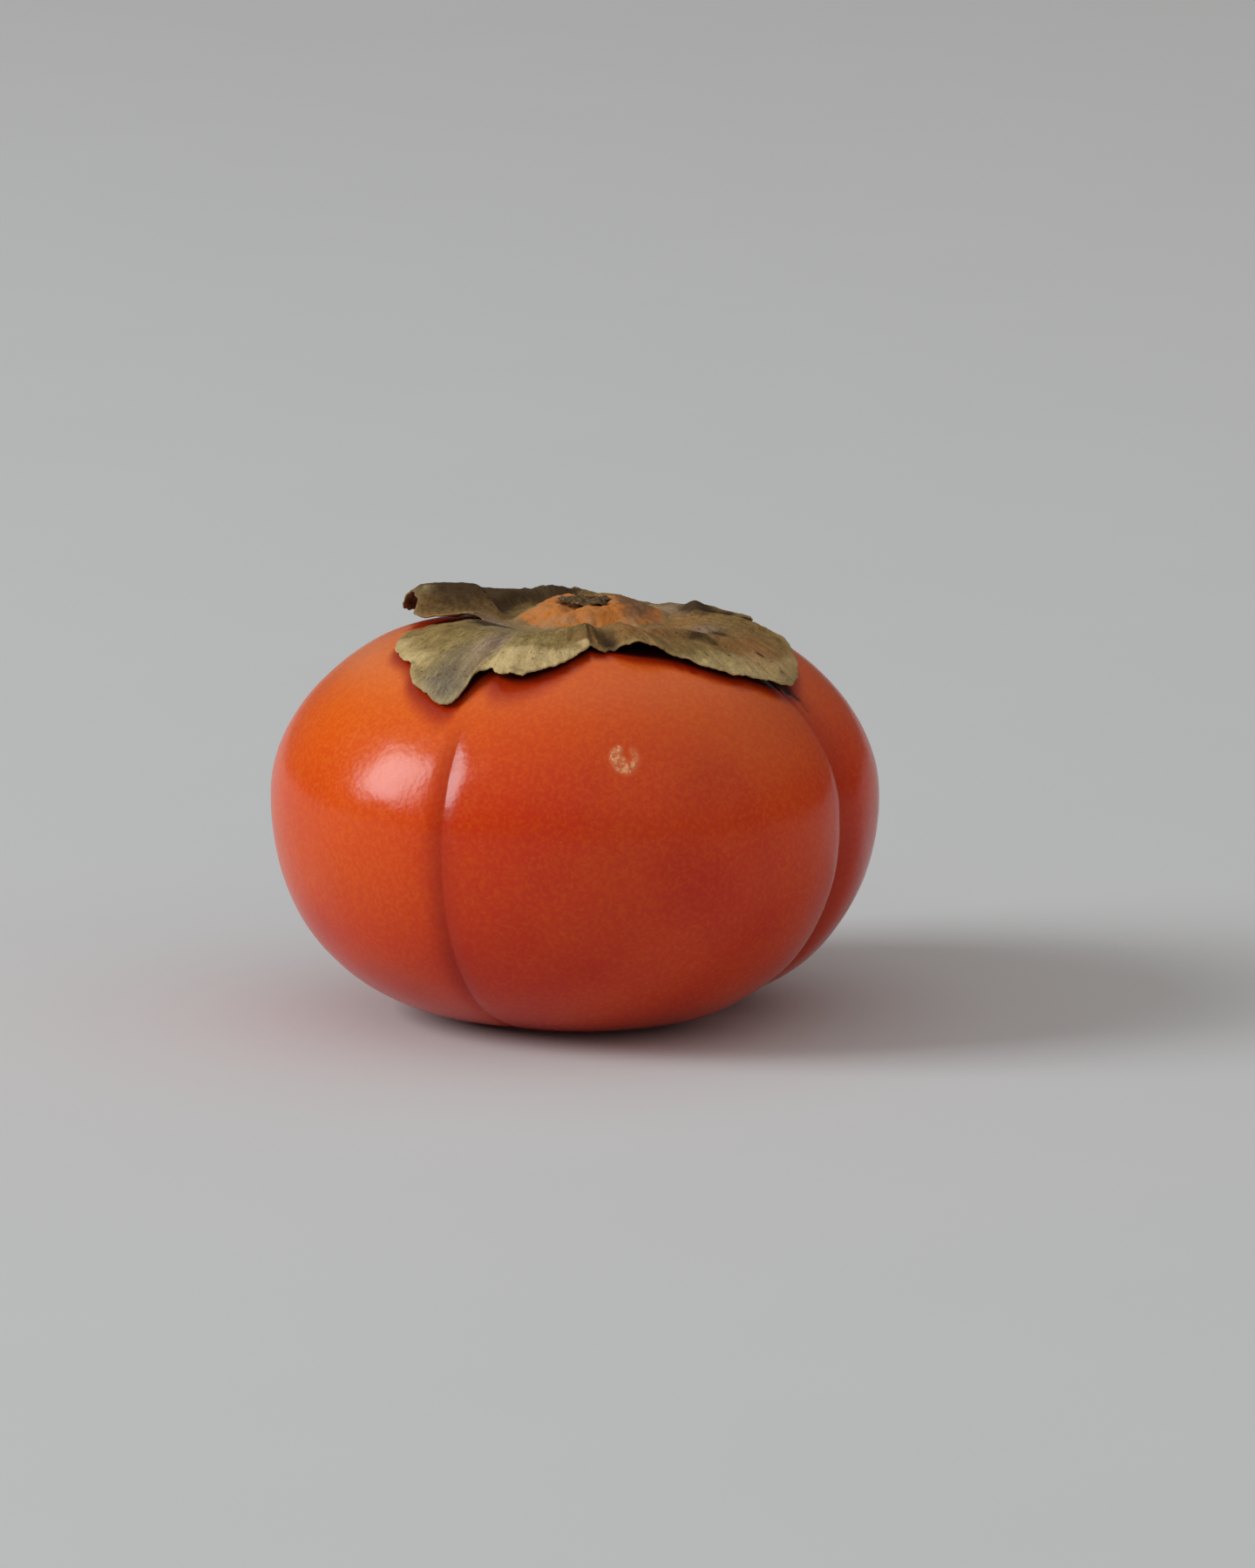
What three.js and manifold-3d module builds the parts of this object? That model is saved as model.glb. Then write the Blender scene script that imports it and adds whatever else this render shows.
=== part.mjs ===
// A ripe persimmon as picked: a squat four-lobed fruit that carries its dried calyx on top.
// Millimetres, +Z up. The origin is on the ground, under the middle of the fruit.
// Azimuths are in degrees round the stalk: 0 is the front (-Y) and 90 is the right (+X).
import * as THREE from "three";
import { mergeVertices } from "three/addons/utils/BufferGeometryUtils.js";
import Module from "manifold-3d";

// Driving dimensions of the fruit.
const fruitRadius = 40; // half the width across the lobes
const equatorHeight = 29; // height of the widest ring above the ground
const crownRise = 26.6; // rise of the shoulders' ellipse above the equator
const basinDepth = 6; // how far the middle of the crown sinks below that ellipse
const basinRadius = 13.8;
const footRadius = 11; // the small flat spot that the fruit rests on
const dimpleRadius = 3.8; // the blossom end, in the middle of the foot
const dimpleDepth = 2.2;
const bellyPower = 0.91; // under 1, the lower half is fuller than an ellipse

// The four grooves that part the lobes: a wide valley with a narrow crease along its middle.
// Depths are in mm and spreads in degrees. A crease fades out above the height topFade.
const grooves = [
  { azimuth: -26.5, valley: 0.5, valleySpread: 13, crease: 0.7, creaseSpread: 1.9, topFade: 43 },
  { azimuth: 69, valley: 1.5, valleySpread: 11, crease: 1.8, creaseSpread: 3.2, topFade: 80 },
  { azimuth: 152, valley: 1.2, valleySpread: 13, crease: 0.9, creaseSpread: 2.6, topFade: 47 },
  { azimuth: 236, valley: 0.8, valleySpread: 11, crease: 1.1, creaseSpread: 2.8, topFade: 50 },
];
const creaseFadeHeight = 7;
const grooveStartRadius = 6; // grooves die out inside this radius on the crown
const grooveFullRadius = 20;

// Driving dimensions of the calyx, the receptacle and the small pieces.
const bladeThickness = 0.7;
const bladeSink = 0.7; // share of a valley's depth that the blades over it follow
const skinGap = 0.3; // clearance between pieces that touch on the real fruit
const collarRadius = 13.5; // the ring in which the sepals join
const collarThickness = 0.8;
const rootRadius = 9; // the sepals start here, sunk into the collar
const bossRadius = 12;
const bossTopHeight = equatorHeight + 25.7;
const bossLipThickness = 0.5;
const bossCentreX = 0.8;
const stubRadius = 3.3;
const stubSocketRadius = stubRadius + skinGap;
const stubSocketDepth = 1.3;
const stubRise = 0.3; // how far the cut stalk stands out of its socket
const tipLength = 1.5; // the dried style in the dimple
const tipRadius = 0.9;

// Each sepal: the azimuths of its root, then the points of its free edge as
// [azimuth, radius, lift], where lift is the height of the blade off the skin.
const sepals = [
  {
    name: "back left, raised and folded down along its near side",
    root: [-66, -164],
    edge: [
      [-84, 20.4, 1.7], [-87, 21.4, 2.8], [-92, 22.0, 3.5], [-103, 23.4, 3.6],
      [-116, 25.0, 2.6], [-130, 25.8, 1.9], [-146, 24.2, 1.2], [-160, 20.5, 0.8],
    ],
    crown: 0.6,
  },
  {
    name: "front left, with a drooping tongue and a side lobe",
    root: [-62, -8],
    edge: [
      [-71, 23.4, 0.8], [-63, 26.4, 0.6], [-54, 27.2, 0.6], [-46, 29.0, 0.6],
      [-38, 30.6, 0.5], [-32, 31.3, 0.5], [-29, 29.2, 0.8], [-25, 25.9, 1.2],
      [-19.5, 27.0, 1.2], [-9, 25.7, 0.9], [0, 22.8, 0.8], [5, 20.8, 1.0],
    ],
    crown: 0.7,
  },
  {
    name: "front right, with a lifted near edge",
    root: [14, 88],
    edge: [
      [15, 20.8, 0.7], [21, 22.2, 1.8], [27, 23.0, 1.8], [33, 24.4, 1.0],
      [40, 26.9, 0.6], [48, 28.5, 0.6], [57, 30.3, 0.5], [63, 31.2, 0.6],
      [70, 30.3, 0.7], [78, 28.4, 0.8], [85, 26.2, 0.7], [91, 23.8, 0.7],
    ],
    crown: 0.8,
  },
  {
    name: "back right, lying flat",
    root: [98, 186],
    edge: [
      [101, 20.8, 0.4], [108, 23.8, 0.4], [120, 26.4, 0.4], [134, 28.2, 0.4],
      [144, 30.0, 0.4], [152, 28.6, 0.5], [165, 26.2, 0.6], [178, 21.5, 0.6],
    ],
    crown: 0.5,
  },
  {
    name: "pleat between the front sepals",
    root: [-12, 20],
    edge: [[-4, 19.6, 0.7], [2, 20.4, 1.4], [7, 20.2, 0.7], [11, 20.6, 1.4], [18, 20.4, 0.6]],
    crown: 0.6,
  },
  {
    name: "pleat between the back sepals",
    root: [180, 206],
    edge: [[183, 15.4, 0.7], [189, 15.6, 1.5], [195, 15.4, 2.0], [202, 15.2, 1.1]],
    crown: 0,
  },
];
const columnsPerEdgeSpan = 3;
const bladeRows = 9;

const radians = THREE.MathUtils.degToRad;
const ease = THREE.MathUtils.smoothstep;

// The outward direction at an azimuth, level with the ground.
const outward = (azimuth) =>
  new THREE.Vector3(Math.sin(radians(azimuth)), -Math.cos(radians(azimuth)), 0);

// Height of the ungrooved crown at a distance from the stalk.
const crownHeight = (radius) =>
  equatorHeight +
  crownRise * Math.sqrt(Math.max(0, 1 - (radius / fruitRadius) ** 2)) -
  basinDepth * Math.exp(-((radius / basinRadius) ** 2));

// The skin's outline from the crown's middle (0) over the equator (1) and the foot's rim (2)
// to the middle of the dimple (3), as distance from the axis and height.
function outline(s) {
  if (s <= 1) {
    const radius = fruitRadius * Math.sin((s * Math.PI) / 2);
    return new THREE.Vector2(radius, crownHeight(radius));
  }
  if (s <= 2) {
    const turn = ((s - 1) * Math.PI) / 2;
    return new THREE.Vector2(
      footRadius + (fruitRadius - footRadius) * Math.cos(turn) ** bellyPower,
      equatorHeight * (1 - Math.sin(turn) ** bellyPower),
    );
  }
  const radius = footRadius * (3 - s);
  const depth = radius < dimpleRadius ? Math.cos((radius / dimpleRadius) * (Math.PI / 2)) ** 2 : 0;
  return new THREE.Vector2(radius, dimpleDepth * depth);
}

// The outline's outward normal, from points just before and after.
function outlineNormal(s) {
  const step = 1e-3;
  const along = outline(Math.min(3, s + step)).sub(outline(Math.max(0, s - step)));
  return new THREE.Vector2(-along.y, along.x).normalize();
}

const bump = (offset, spread) => Math.exp(-0.5 * (offset / spread) ** 2);
const turnBetween = (a, b) => THREE.MathUtils.euclideanModulo(a - b + 180, 360) - 180;

// How far the wide valleys press in the skin at an azimuth, and the narrow creases in them.
const valleyDepth = (azimuth) =>
  grooves.reduce(
    (depth, { azimuth: middle, valley, valleySpread }) =>
      depth + valley * bump(turnBetween(azimuth, middle), valleySpread),
    0,
  );
const creaseDepth = (height, azimuth) =>
  grooves.reduce((depth, { azimuth: middle, crease, creaseSpread, topFade }) => {
    const share = 1 - ease(height, topFade, topFade + creaseFadeHeight);
    return depth + crease * share * bump(turnBetween(azimuth, middle), creaseSpread);
  }, 0);
const crownShare = (radius) => ease(radius, grooveStartRadius, grooveFullRadius);

// A point of the skin, with the grooves pressed in along its normal.
function skinPoint(s, azimuth) {
  const base = outline(s);
  const normal = outlineNormal(s);
  const bellyShare = ease(base.x, footRadius, (footRadius + fruitRadius) / 2);
  const share = s <= 1 ? crownShare(base.x) : bellyShare;
  const depth = s <= 2 ? share * (valleyDepth(azimuth) + creaseDepth(base.y, azimuth)) : 0;
  const radius = base.x - depth * normal.x;
  return outward(azimuth).multiplyScalar(radius).setZ(base.y - depth * normal.y);
}

// A closed surface from a top point, rings of points and a bottom point.
function ringedSolid(top, rings, bottom) {
  const count = rings[0].length;
  const points = [top, ...rings.flat(), bottom];
  const faces = [];
  const at = (ring, column) => 1 + ring * count + (column % count);
  for (let c = 0; c < count; c++) {
    faces.push(0, at(0, c), at(0, c + 1));
    for (let r = 0; r + 1 < rings.length; r++) {
      faces.push(at(r, c), at(r + 1, c), at(r + 1, c + 1));
      faces.push(at(r, c), at(r + 1, c + 1), at(r, c + 1));
    }
    faces.push(at(rings.length - 1, c), points.length - 1, at(rings.length - 1, c + 1));
  }
  return new THREE.BufferGeometry().setFromPoints(points).setIndex(faces);
}

// Azimuths round the fruit, close together in each groove and wide apart on each lobe.
function fruitAzimuths(perLobe) {
  const crowding = 0.8;
  return grooves.flatMap((groove, i) => {
    const next = grooves[(i + 1) % grooves.length].azimuth;
    const span = THREE.MathUtils.euclideanModulo(next - groove.azimuth, 360);
    return Array.from({ length: perLobe }, (_, k) => {
      const share = k / perLobe;
      return groove.azimuth + span * (share - (crowding * Math.sin(2 * Math.PI * share)) / (2 * Math.PI));
    });
  });
}

function fruitGeometry() {
  const azimuths = fruitAzimuths(20);
  const crownStops = 17;
  const bellyStops = 14;
  const stops = [];
  for (let i = 1; i <= crownStops; i++) stops.push(i / crownStops);
  for (let i = 1; i <= bellyStops; i++) stops.push(1 + i / bellyStops);
  const dimpleStart = 3 - dimpleRadius / footRadius;
  for (const share of [0, 0.33, 0.67]) stops.push(dimpleStart + share * (3 - dimpleStart));
  const rings = stops.map((s) => azimuths.map((azimuth) => skinPoint(s, azimuth)));
  return ringedSolid(skinPoint(0, 0), rings, skinPoint(3, 0));
}

// A solid of revolution about the stalk's axis, or about an axis beside it.
function turned(profile, segments, axisX = 0) {
  const points = profile.map(([radius, height]) => new THREE.Vector2(radius, height));
  return new THREE.LatheGeometry(points, segments).rotateX(Math.PI / 2).translate(axisX, 0, 0);
}

// A point that stands off the crown, and sinks with the valleys that it lies over.
function overCrown(azimuth, radius, lift) {
  const step = 0.01;
  const rise = lift - bladeSink * crownShare(radius) * valleyDepth(azimuth);
  const slope = (crownHeight(radius + step) - crownHeight(radius - step)) / (2 * step);
  const normal = new THREE.Vector2(-slope, 1).normalize();
  return outward(azimuth)
    .multiplyScalar(radius + rise * normal.x)
    .setZ(crownHeight(radius) + rise * normal.y);
}

// The middle surface of a blade: columns run along the free edge, rows from root to edge.
function bladeGrid({ root, edge, crown }) {
  const curve = new THREE.CatmullRomCurve3(edge.map((point) => new THREE.Vector3(...point)));
  const columns = columnsPerEdgeSpan * (edge.length - 1);
  const rootLift = skinGap + bladeThickness / 2;
  return Array.from({ length: columns + 1 }, (_, column) => {
    const across = column / columns;
    const [azimuth, radius, lift] = curve.getPoint(across).toArray();
    const rootAzimuth = THREE.MathUtils.lerp(root[0], root[1], across);
    return Array.from({ length: bladeRows + 1 }, (_, row) => {
      const along = row / bladeRows;
      const swell = crown * Math.sin(Math.PI * across) * Math.sin(Math.PI * along) ** 2;
      const rise = ease(along, 0.4, 1);
      return overCrown(
        THREE.MathUtils.lerp(rootAzimuth, azimuth, ease(along, 0, 0.8)),
        THREE.MathUtils.lerp(rootRadius, radius, along),
        rootLift + lift * rise + swell,
      );
    });
  });
}

// A blade of even thickness about its middle surface, closed round its border.
function bladeGeometry(grid) {
  const columns = grid.length;
  const rows = grid[0].length;
  const near = (i, size) => Math.min(Math.max(i, 0), size - 1);
  const faceOf = (side) =>
    grid.flatMap((line, i) =>
      line.map((point, j) => {
        const acrossStep = grid[near(i + 1, columns)][j].clone().sub(grid[near(i - 1, columns)][j]);
        const alongStep = line[near(j + 1, rows)].clone().sub(line[near(j - 1, rows)]);
        const normal = acrossStep.cross(alongStep).normalize();
        if (normal.z < 0) normal.negate();
        return point.clone().addScaledVector(normal, (side * bladeThickness) / 2);
      }),
    );
  const points = [...faceOf(1), ...faceOf(-1)];
  const under = columns * rows;
  const at = (i, j) => i * rows + j;
  const faces = [];
  const quad = (a, b, c, d) => faces.push(a, b, c, a, c, d);
  for (let i = 0; i + 1 < columns; i++) {
    for (let j = 0; j + 1 < rows; j++) {
      const [a, b, c, d] = [at(i, j), at(i, j + 1), at(i + 1, j + 1), at(i + 1, j)];
      faces.push(a, b, c, a, c, d);
      faces.push(under + a, under + c, under + b, under + a, under + d, under + c);
    }
    quad(at(i, 0), at(i + 1, 0), under + at(i + 1, 0), under + at(i, 0));
    quad(at(i + 1, rows - 1), at(i, rows - 1), under + at(i, rows - 1), under + at(i + 1, rows - 1));
  }
  for (let j = 0; j + 1 < rows; j++) {
    quad(at(0, j + 1), at(0, j), under + at(0, j), under + at(0, j + 1));
    quad(at(columns - 1, j), at(columns - 1, j + 1), under + at(columns - 1, j + 1), under + at(columns - 1, j));
  }
  return new THREE.BufferGeometry().setFromPoints(points).setIndex(faces);
}

const wasm = await Module();
wasm.setup();

// A closed geometry as a solid that can be joined and cut, turned right side out.
function solidOf(geometry) {
  const bare = new THREE.BufferGeometry()
    .setAttribute("position", geometry.getAttribute("position"))
    .setIndex(geometry.index);
  const merged = mergeVertices(bare, 1e-4);
  const triVerts = new Uint32Array(merged.index.array);
  const vertProperties = merged.attributes.position.array;
  const solid = new wasm.Manifold(new wasm.Mesh({ numProp: 3, vertProperties, triVerts }));
  if (solid.volume() > 0) return solid;
  return new wasm.Manifold(
    new wasm.Mesh({ numProp: 3, vertProperties, triVerts: triVerts.slice().reverse() }),
  );
}

function geometryOf(solid) {
  const mesh = solid.getMesh();
  return new THREE.BufferGeometry()
    .setAttribute("position", new THREE.BufferAttribute(mesh.vertProperties, 3))
    .setIndex(new THREE.BufferAttribute(mesh.triVerts, 1));
}

// The ring in which the sepals join: a shell of even thickness over the crown's basin.
function collarProfile() {
  const stops = [0, 3, 6, 9, 11, collarRadius];
  const lower = stops.map((radius) => [radius, crownHeight(radius) + skinGap]);
  const upper = stops.map((radius) => [radius, crownHeight(radius) + skinGap + collarThickness]);
  return [...lower, ...upper.reverse()];
}

// The calyx: all blades and the collar joined in one body.
function calyxGeometry() {
  const collar = solidOf(turned(collarProfile(), 48));
  const blades = sepals.map((sepal) => solidOf(bladeGeometry(bladeGrid(sepal))));
  return geometryOf(blades.reduce((joined, blade) => joined.add(blade), collar));
}

// The receptacle: a low boss on the collar, with a socket for the cut stalk.
function receptacleGeometry() {
  const bed = (radius) =>
    crownHeight(radius + bossCentreX) + skinGap + collarThickness + skinGap;
  const stops = [0, 4, 8, bossRadius];
  const lower = stops.map((radius) => [radius, bed(radius)]);
  const upper = [
    [bossRadius, bed(bossRadius) + bossLipThickness],
    [10.6, bossTopHeight - 1.1],
    [8.4, bossTopHeight - 0.5],
    [5.4, bossTopHeight - 0.05],
    [stubSocketRadius, bossTopHeight - 0.1],
    [stubSocketRadius, bossTopHeight - stubSocketDepth],
    [0, bossTopHeight - stubSocketDepth],
  ];
  return turned([...lower, ...upper], 40, bossCentreX);
}

// The stub of the stalk: a short woody disc, hollowed a little where it was cut.
function stubGeometry() {
  const floor = bossTopHeight - stubSocketDepth + skinGap;
  const top = bossTopHeight + stubRise;
  const profile = [
    [0, floor],
    [stubRadius, floor],
    [stubRadius, top - 0.3],
    [stubRadius - 0.5, top],
    [1.4, top - 0.35],
    [0, top - 0.5],
  ];
  return turned(profile, 24, bossCentreX);
}

// The dried style: a blunt point that hangs in the dimple, clear of the ground.
function styleGeometry() {
  const top = dimpleDepth - skinGap;
  const profile = [
    [0, top - tipLength],
    [0.35, top - tipLength],
    [tipRadius * 0.6, top - tipLength / 2],
    [tipRadius, top - 0.3],
    [0, top - 0.1],
  ];
  return turned(profile, 16);
}

// The fruit's lobes differ, so its own middle is found and put over the origin.
function middleShift(geometry) {
  geometry.computeBoundingBox();
  const middle = geometry.boundingBox.getCenter(new THREE.Vector3());
  return new THREE.Vector3(-middle.x, -middle.y, 0);
}

const group = new THREE.Group();

function addPiece(name, geometry, color, roughness) {
  const material = new THREE.MeshStandardMaterial({ color, roughness, metalness: 0 });
  const mesh = new THREE.Mesh(geometry, material);
  mesh.name = name;
  mesh.position.copy(shift);
  group.add(mesh);
}

const fruit = fruitGeometry();
const shift = middleShift(fruit);
addPiece("fruit", fruit, 0xd2560f, 0.28);
addPiece("calyx", calyxGeometry(), 0x8a7650, 0.75);
addPiece("receptacle", receptacleGeometry(), 0xb87838, 0.6);
addPiece("stalk_stub", stubGeometry(), 0x4a3524, 0.85);
addPiece("style_tip", styleGeometry(), 0x2a1c12, 0.8);

export default group;
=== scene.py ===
"""A ripe persimmon as picked, with its dried calyx on top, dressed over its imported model.

Sizes are in millimetres in the model's own frame, and meshes are written in metres.
Azimuths are in degrees round the stalk: 0 is the front (-Y) and 90 is the right (+X).
"""

import logging
import math
from abc import ABC, abstractmethod
from collections.abc import Sequence
from dataclasses import dataclass, field
from enum import Enum
from typing import ClassVar, Protocol

import bpy
import numpy as np
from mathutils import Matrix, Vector, noise


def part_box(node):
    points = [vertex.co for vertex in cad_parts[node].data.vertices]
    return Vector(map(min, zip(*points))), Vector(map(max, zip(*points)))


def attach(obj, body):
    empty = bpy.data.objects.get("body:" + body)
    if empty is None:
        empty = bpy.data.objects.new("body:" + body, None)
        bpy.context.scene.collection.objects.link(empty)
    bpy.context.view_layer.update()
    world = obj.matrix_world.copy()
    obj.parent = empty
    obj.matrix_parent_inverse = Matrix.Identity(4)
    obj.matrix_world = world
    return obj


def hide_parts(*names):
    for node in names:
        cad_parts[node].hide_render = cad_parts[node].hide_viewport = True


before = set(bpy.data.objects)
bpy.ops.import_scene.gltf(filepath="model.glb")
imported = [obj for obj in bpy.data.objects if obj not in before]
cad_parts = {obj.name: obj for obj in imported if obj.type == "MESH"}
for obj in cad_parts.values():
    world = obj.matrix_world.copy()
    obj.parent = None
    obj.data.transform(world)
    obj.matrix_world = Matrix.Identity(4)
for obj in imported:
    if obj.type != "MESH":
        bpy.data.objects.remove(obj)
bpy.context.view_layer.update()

log = logging.getLogger("persimmon")
METRES = 0.001
FULL_TURN = 360.0
Colour = tuple[float, float, float]


class Mask(str, Enum):
    """The masks that are painted on meshes by formula, for the finishes to read."""

    # The dark red and the near black under the calyx are painted shade, the sheen is a painted sheen, and
    # the amber is partly painted light.
    PAINTED_SHADE = "deep_red"
    HIDDEN = "hidden"
    AMBER_AND_LIGHT = "amber"
    BLOOM = "bloom"
    SCAB = "scab"
    CRACK = "crack"
    BROWN = "brown"
    PALE = "pale"
    GREY = "grey"
    EMBER = "ember"
    UMBER = "umber"
    LILAC = "lilac"
    RIM = "rim"


def bell(offset: np.ndarray, spread: float) -> np.ndarray:
    """A Gaussian of height 1."""
    return np.exp(-0.5 * (offset / spread) ** 2)


def ease(value: np.ndarray, low: np.ndarray | float, high: np.ndarray | float) -> np.ndarray:
    """0 below low and 1 above high, with a smooth step between them."""
    share = np.clip((value - low) / (high - low), 0.0, 1.0)
    return share * share * (3 - 2 * share)


def turn_between(first: np.ndarray | float, second: float) -> np.ndarray | float:
    """The angle from the second azimuth to the first, from -180 to 180 degrees."""
    return (first - second + FULL_TURN / 2) % FULL_TURN - FULL_TURN / 2


def outward(azimuths: np.ndarray) -> np.ndarray:
    """The level directions away from the stalk at some azimuths, one a row."""
    angles = np.radians(azimuths)
    return np.stack([np.sin(angles), -np.cos(angles), np.zeros_like(angles)], axis=-1)


@dataclass(frozen=True)
class Side:
    """A side of the fruit round the stalk, which fades out on both hands."""

    azimuth: float
    spread: float

    def share(self, azimuths: np.ndarray) -> np.ndarray:
        """How far some azimuths belong to the side, from 0 to 1."""
        return bell(turn_between(azimuths, self.azimuth), self.spread)


@dataclass(frozen=True)
class Noise:
    """Fractal noise over space.

    Its fields are how far it reaches from 0 to either side, how wide its humps are in
    millimetres, how many finer layers it has, and a seed that moves it.
    """

    reach: float
    size: float
    octaves: int
    seed: float = 0.0
    roughness: ClassVar[float] = 0.9
    layer_step: ClassVar[float] = 2.0
    seed_step: ClassVar[float] = 31.7

    def at(self, points: np.ndarray) -> np.ndarray:
        """The noise at some points.

        Args:
            points: the points in millimetres, with x, y and z on the last axis.

        Returns:
            One value a point.
        """
        moved = (np.asarray(points, float) / self.size + self.seed_step * self.seed).reshape(-1, 3)
        layers = (self.roughness, self.layer_step, self.octaves)
        values = [noise.fractal(Vector(p), *layers) for p in moved]
        return self.reach * np.array(values).reshape(np.shape(points)[:-1])


@dataclass(frozen=True)
class Crowding:
    """A place where stops stand closer together, or further apart if the gain is negative."""

    middle: float
    spread: float
    gain: float


def crowded(start: float, end: float, count: int, places: Sequence[Crowding]) -> np.ndarray:
    """Stops from start to end that stand closer together near some places.

    Args:
        start: the first stop.
        end: the last stop.
        count: how many stops there are.
        places: where the stops crowd.

    Returns:
        The stops in rising order.
    """
    samples = 6000
    fine = np.linspace(start, end, samples)
    density = 1 + sum(place.gain * bell(fine - place.middle, place.spread) for place in places)
    total = np.concatenate([[0.0], np.cumsum((density[1:] + density[:-1]) / 2)])
    return np.interp(np.linspace(0, total[-1], count), total, fine)


def closed_spline(points: np.ndarray, counts: int) -> np.ndarray:
    """A smooth line that passes some points and turns once round the stalk.

    Args:
        points: the points that it passes, one a row, with their azimuth first.
        counts: how many stops it has from each point to the next.

    Returns:
        The stops along the line, one a row.
    """
    turn = np.zeros(points.shape[1])
    turn[0] = FULL_TURN
    around = np.concatenate([points[-1:] - turn, points, points[:2] + turn])
    a, b, c, d = (around[i : i + len(points), None] for i in range(4))
    t = (np.arange(counts) / counts)[None, :, None]
    bend = 2 * b + (c - a) * t + (2 * a - 5 * b + 4 * c - d) * t**2
    line = 0.5 * (bend + (3 * b - a - 3 * c + d) * t**3)
    return line.reshape(-1, points.shape[1])


@dataclass
class Surface:
    """A closed surface: a first point, rings of points that follow each other, and a last point.

    Each mask has one value a point of the rings, and the end points take it from their ring.
    """

    first: np.ndarray
    rings: np.ndarray
    last: np.ndarray
    masks: dict[Mask, np.ndarray] = field(default_factory=dict)

    def points(self) -> np.ndarray:
        """All its points, one a row."""
        parts = (self.first, self.rings, self.last)
        return np.concatenate([part.reshape(-1, 3) for part in parts])

    def faces(self) -> list[tuple[int, ...]]:
        """Quads between the rings and triangles at both ends.

        Returns:
            The faces as point numbers.
        """
        count, columns = self.rings.shape[:2]
        pairs = [(c, (c + 1) % columns) for c in range(columns)]
        faces = []
        for low in range(1, 1 + (count - 1) * columns, columns):
            high = low + columns
            faces += [(low + c, high + c, high + n, low + n) for c, n in pairs]
        low = 1 + (count - 1) * columns
        faces += [(0, 1 + c, 1 + n) for c, n in pairs]
        faces += [(low + columns, low + n, low + c) for c, n in pairs]
        return faces

    def centring(self) -> np.ndarray:
        """The level move that brings the middle of its box over the origin."""
        points = self.points()
        return (points.min(axis=0) + points.max(axis=0)) / 2 * np.array([-1.0, -1.0, 0.0])

    def mesh(self, name: str, shift: np.ndarray) -> bpy.types.Mesh:
        """Makes a smooth-shaded mesh.

        Args:
            name: its name.
            shift: how far the surface is moved.

        Returns:
            The mesh, in metres and with its masks painted.
        """
        mesh = bpy.data.meshes.new(name)
        mesh.from_pydata(((self.points() + shift) * METRES).tolist(), [], self.faces())
        mesh.polygons.foreach_set("use_smooth", [True] * len(mesh.polygons))
        for mask, values in self.masks.items():
            everywhere = np.concatenate([values[0, :1], values.ravel(), values[-1, :1]])
            layer = mesh.attributes.new(mask.value, "FLOAT", "POINT")
            layer.data.foreach_set("value", np.clip(everywhere, 0, 1).astype(np.float32))
        mesh.update()
        return mesh


class Wire:
    """A node's output that Python's operators work on by adding Math nodes."""

    def __init__(self, recipe: "Recipe", socket: bpy.types.NodeSocket) -> None:
        """Wraps the socket."""
        self.recipe = recipe
        self.socket = socket

    def __add__(self, other: "Wire | float") -> "Wire":
        """Adds a value."""
        return self.recipe.maths("ADD", self, other)

    def __sub__(self, other: "Wire | float") -> "Wire":
        """Takes a value away."""
        return self.recipe.maths("SUBTRACT", self, other)

    def __rsub__(self, other: float) -> "Wire":
        """Takes this from a number."""
        return self.recipe.maths("SUBTRACT", other, self)

    def __mul__(self, other: "Wire | float") -> "Wire":
        """Multiplies by a value."""
        return self.recipe.maths("MULTIPLY", self, other)

    def __pow__(self, other: float) -> "Wire":
        """Raises to a power."""
        return self.recipe.maths("POWER", self, other)

    __radd__ = __add__
    __rmul__ = __mul__


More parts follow.
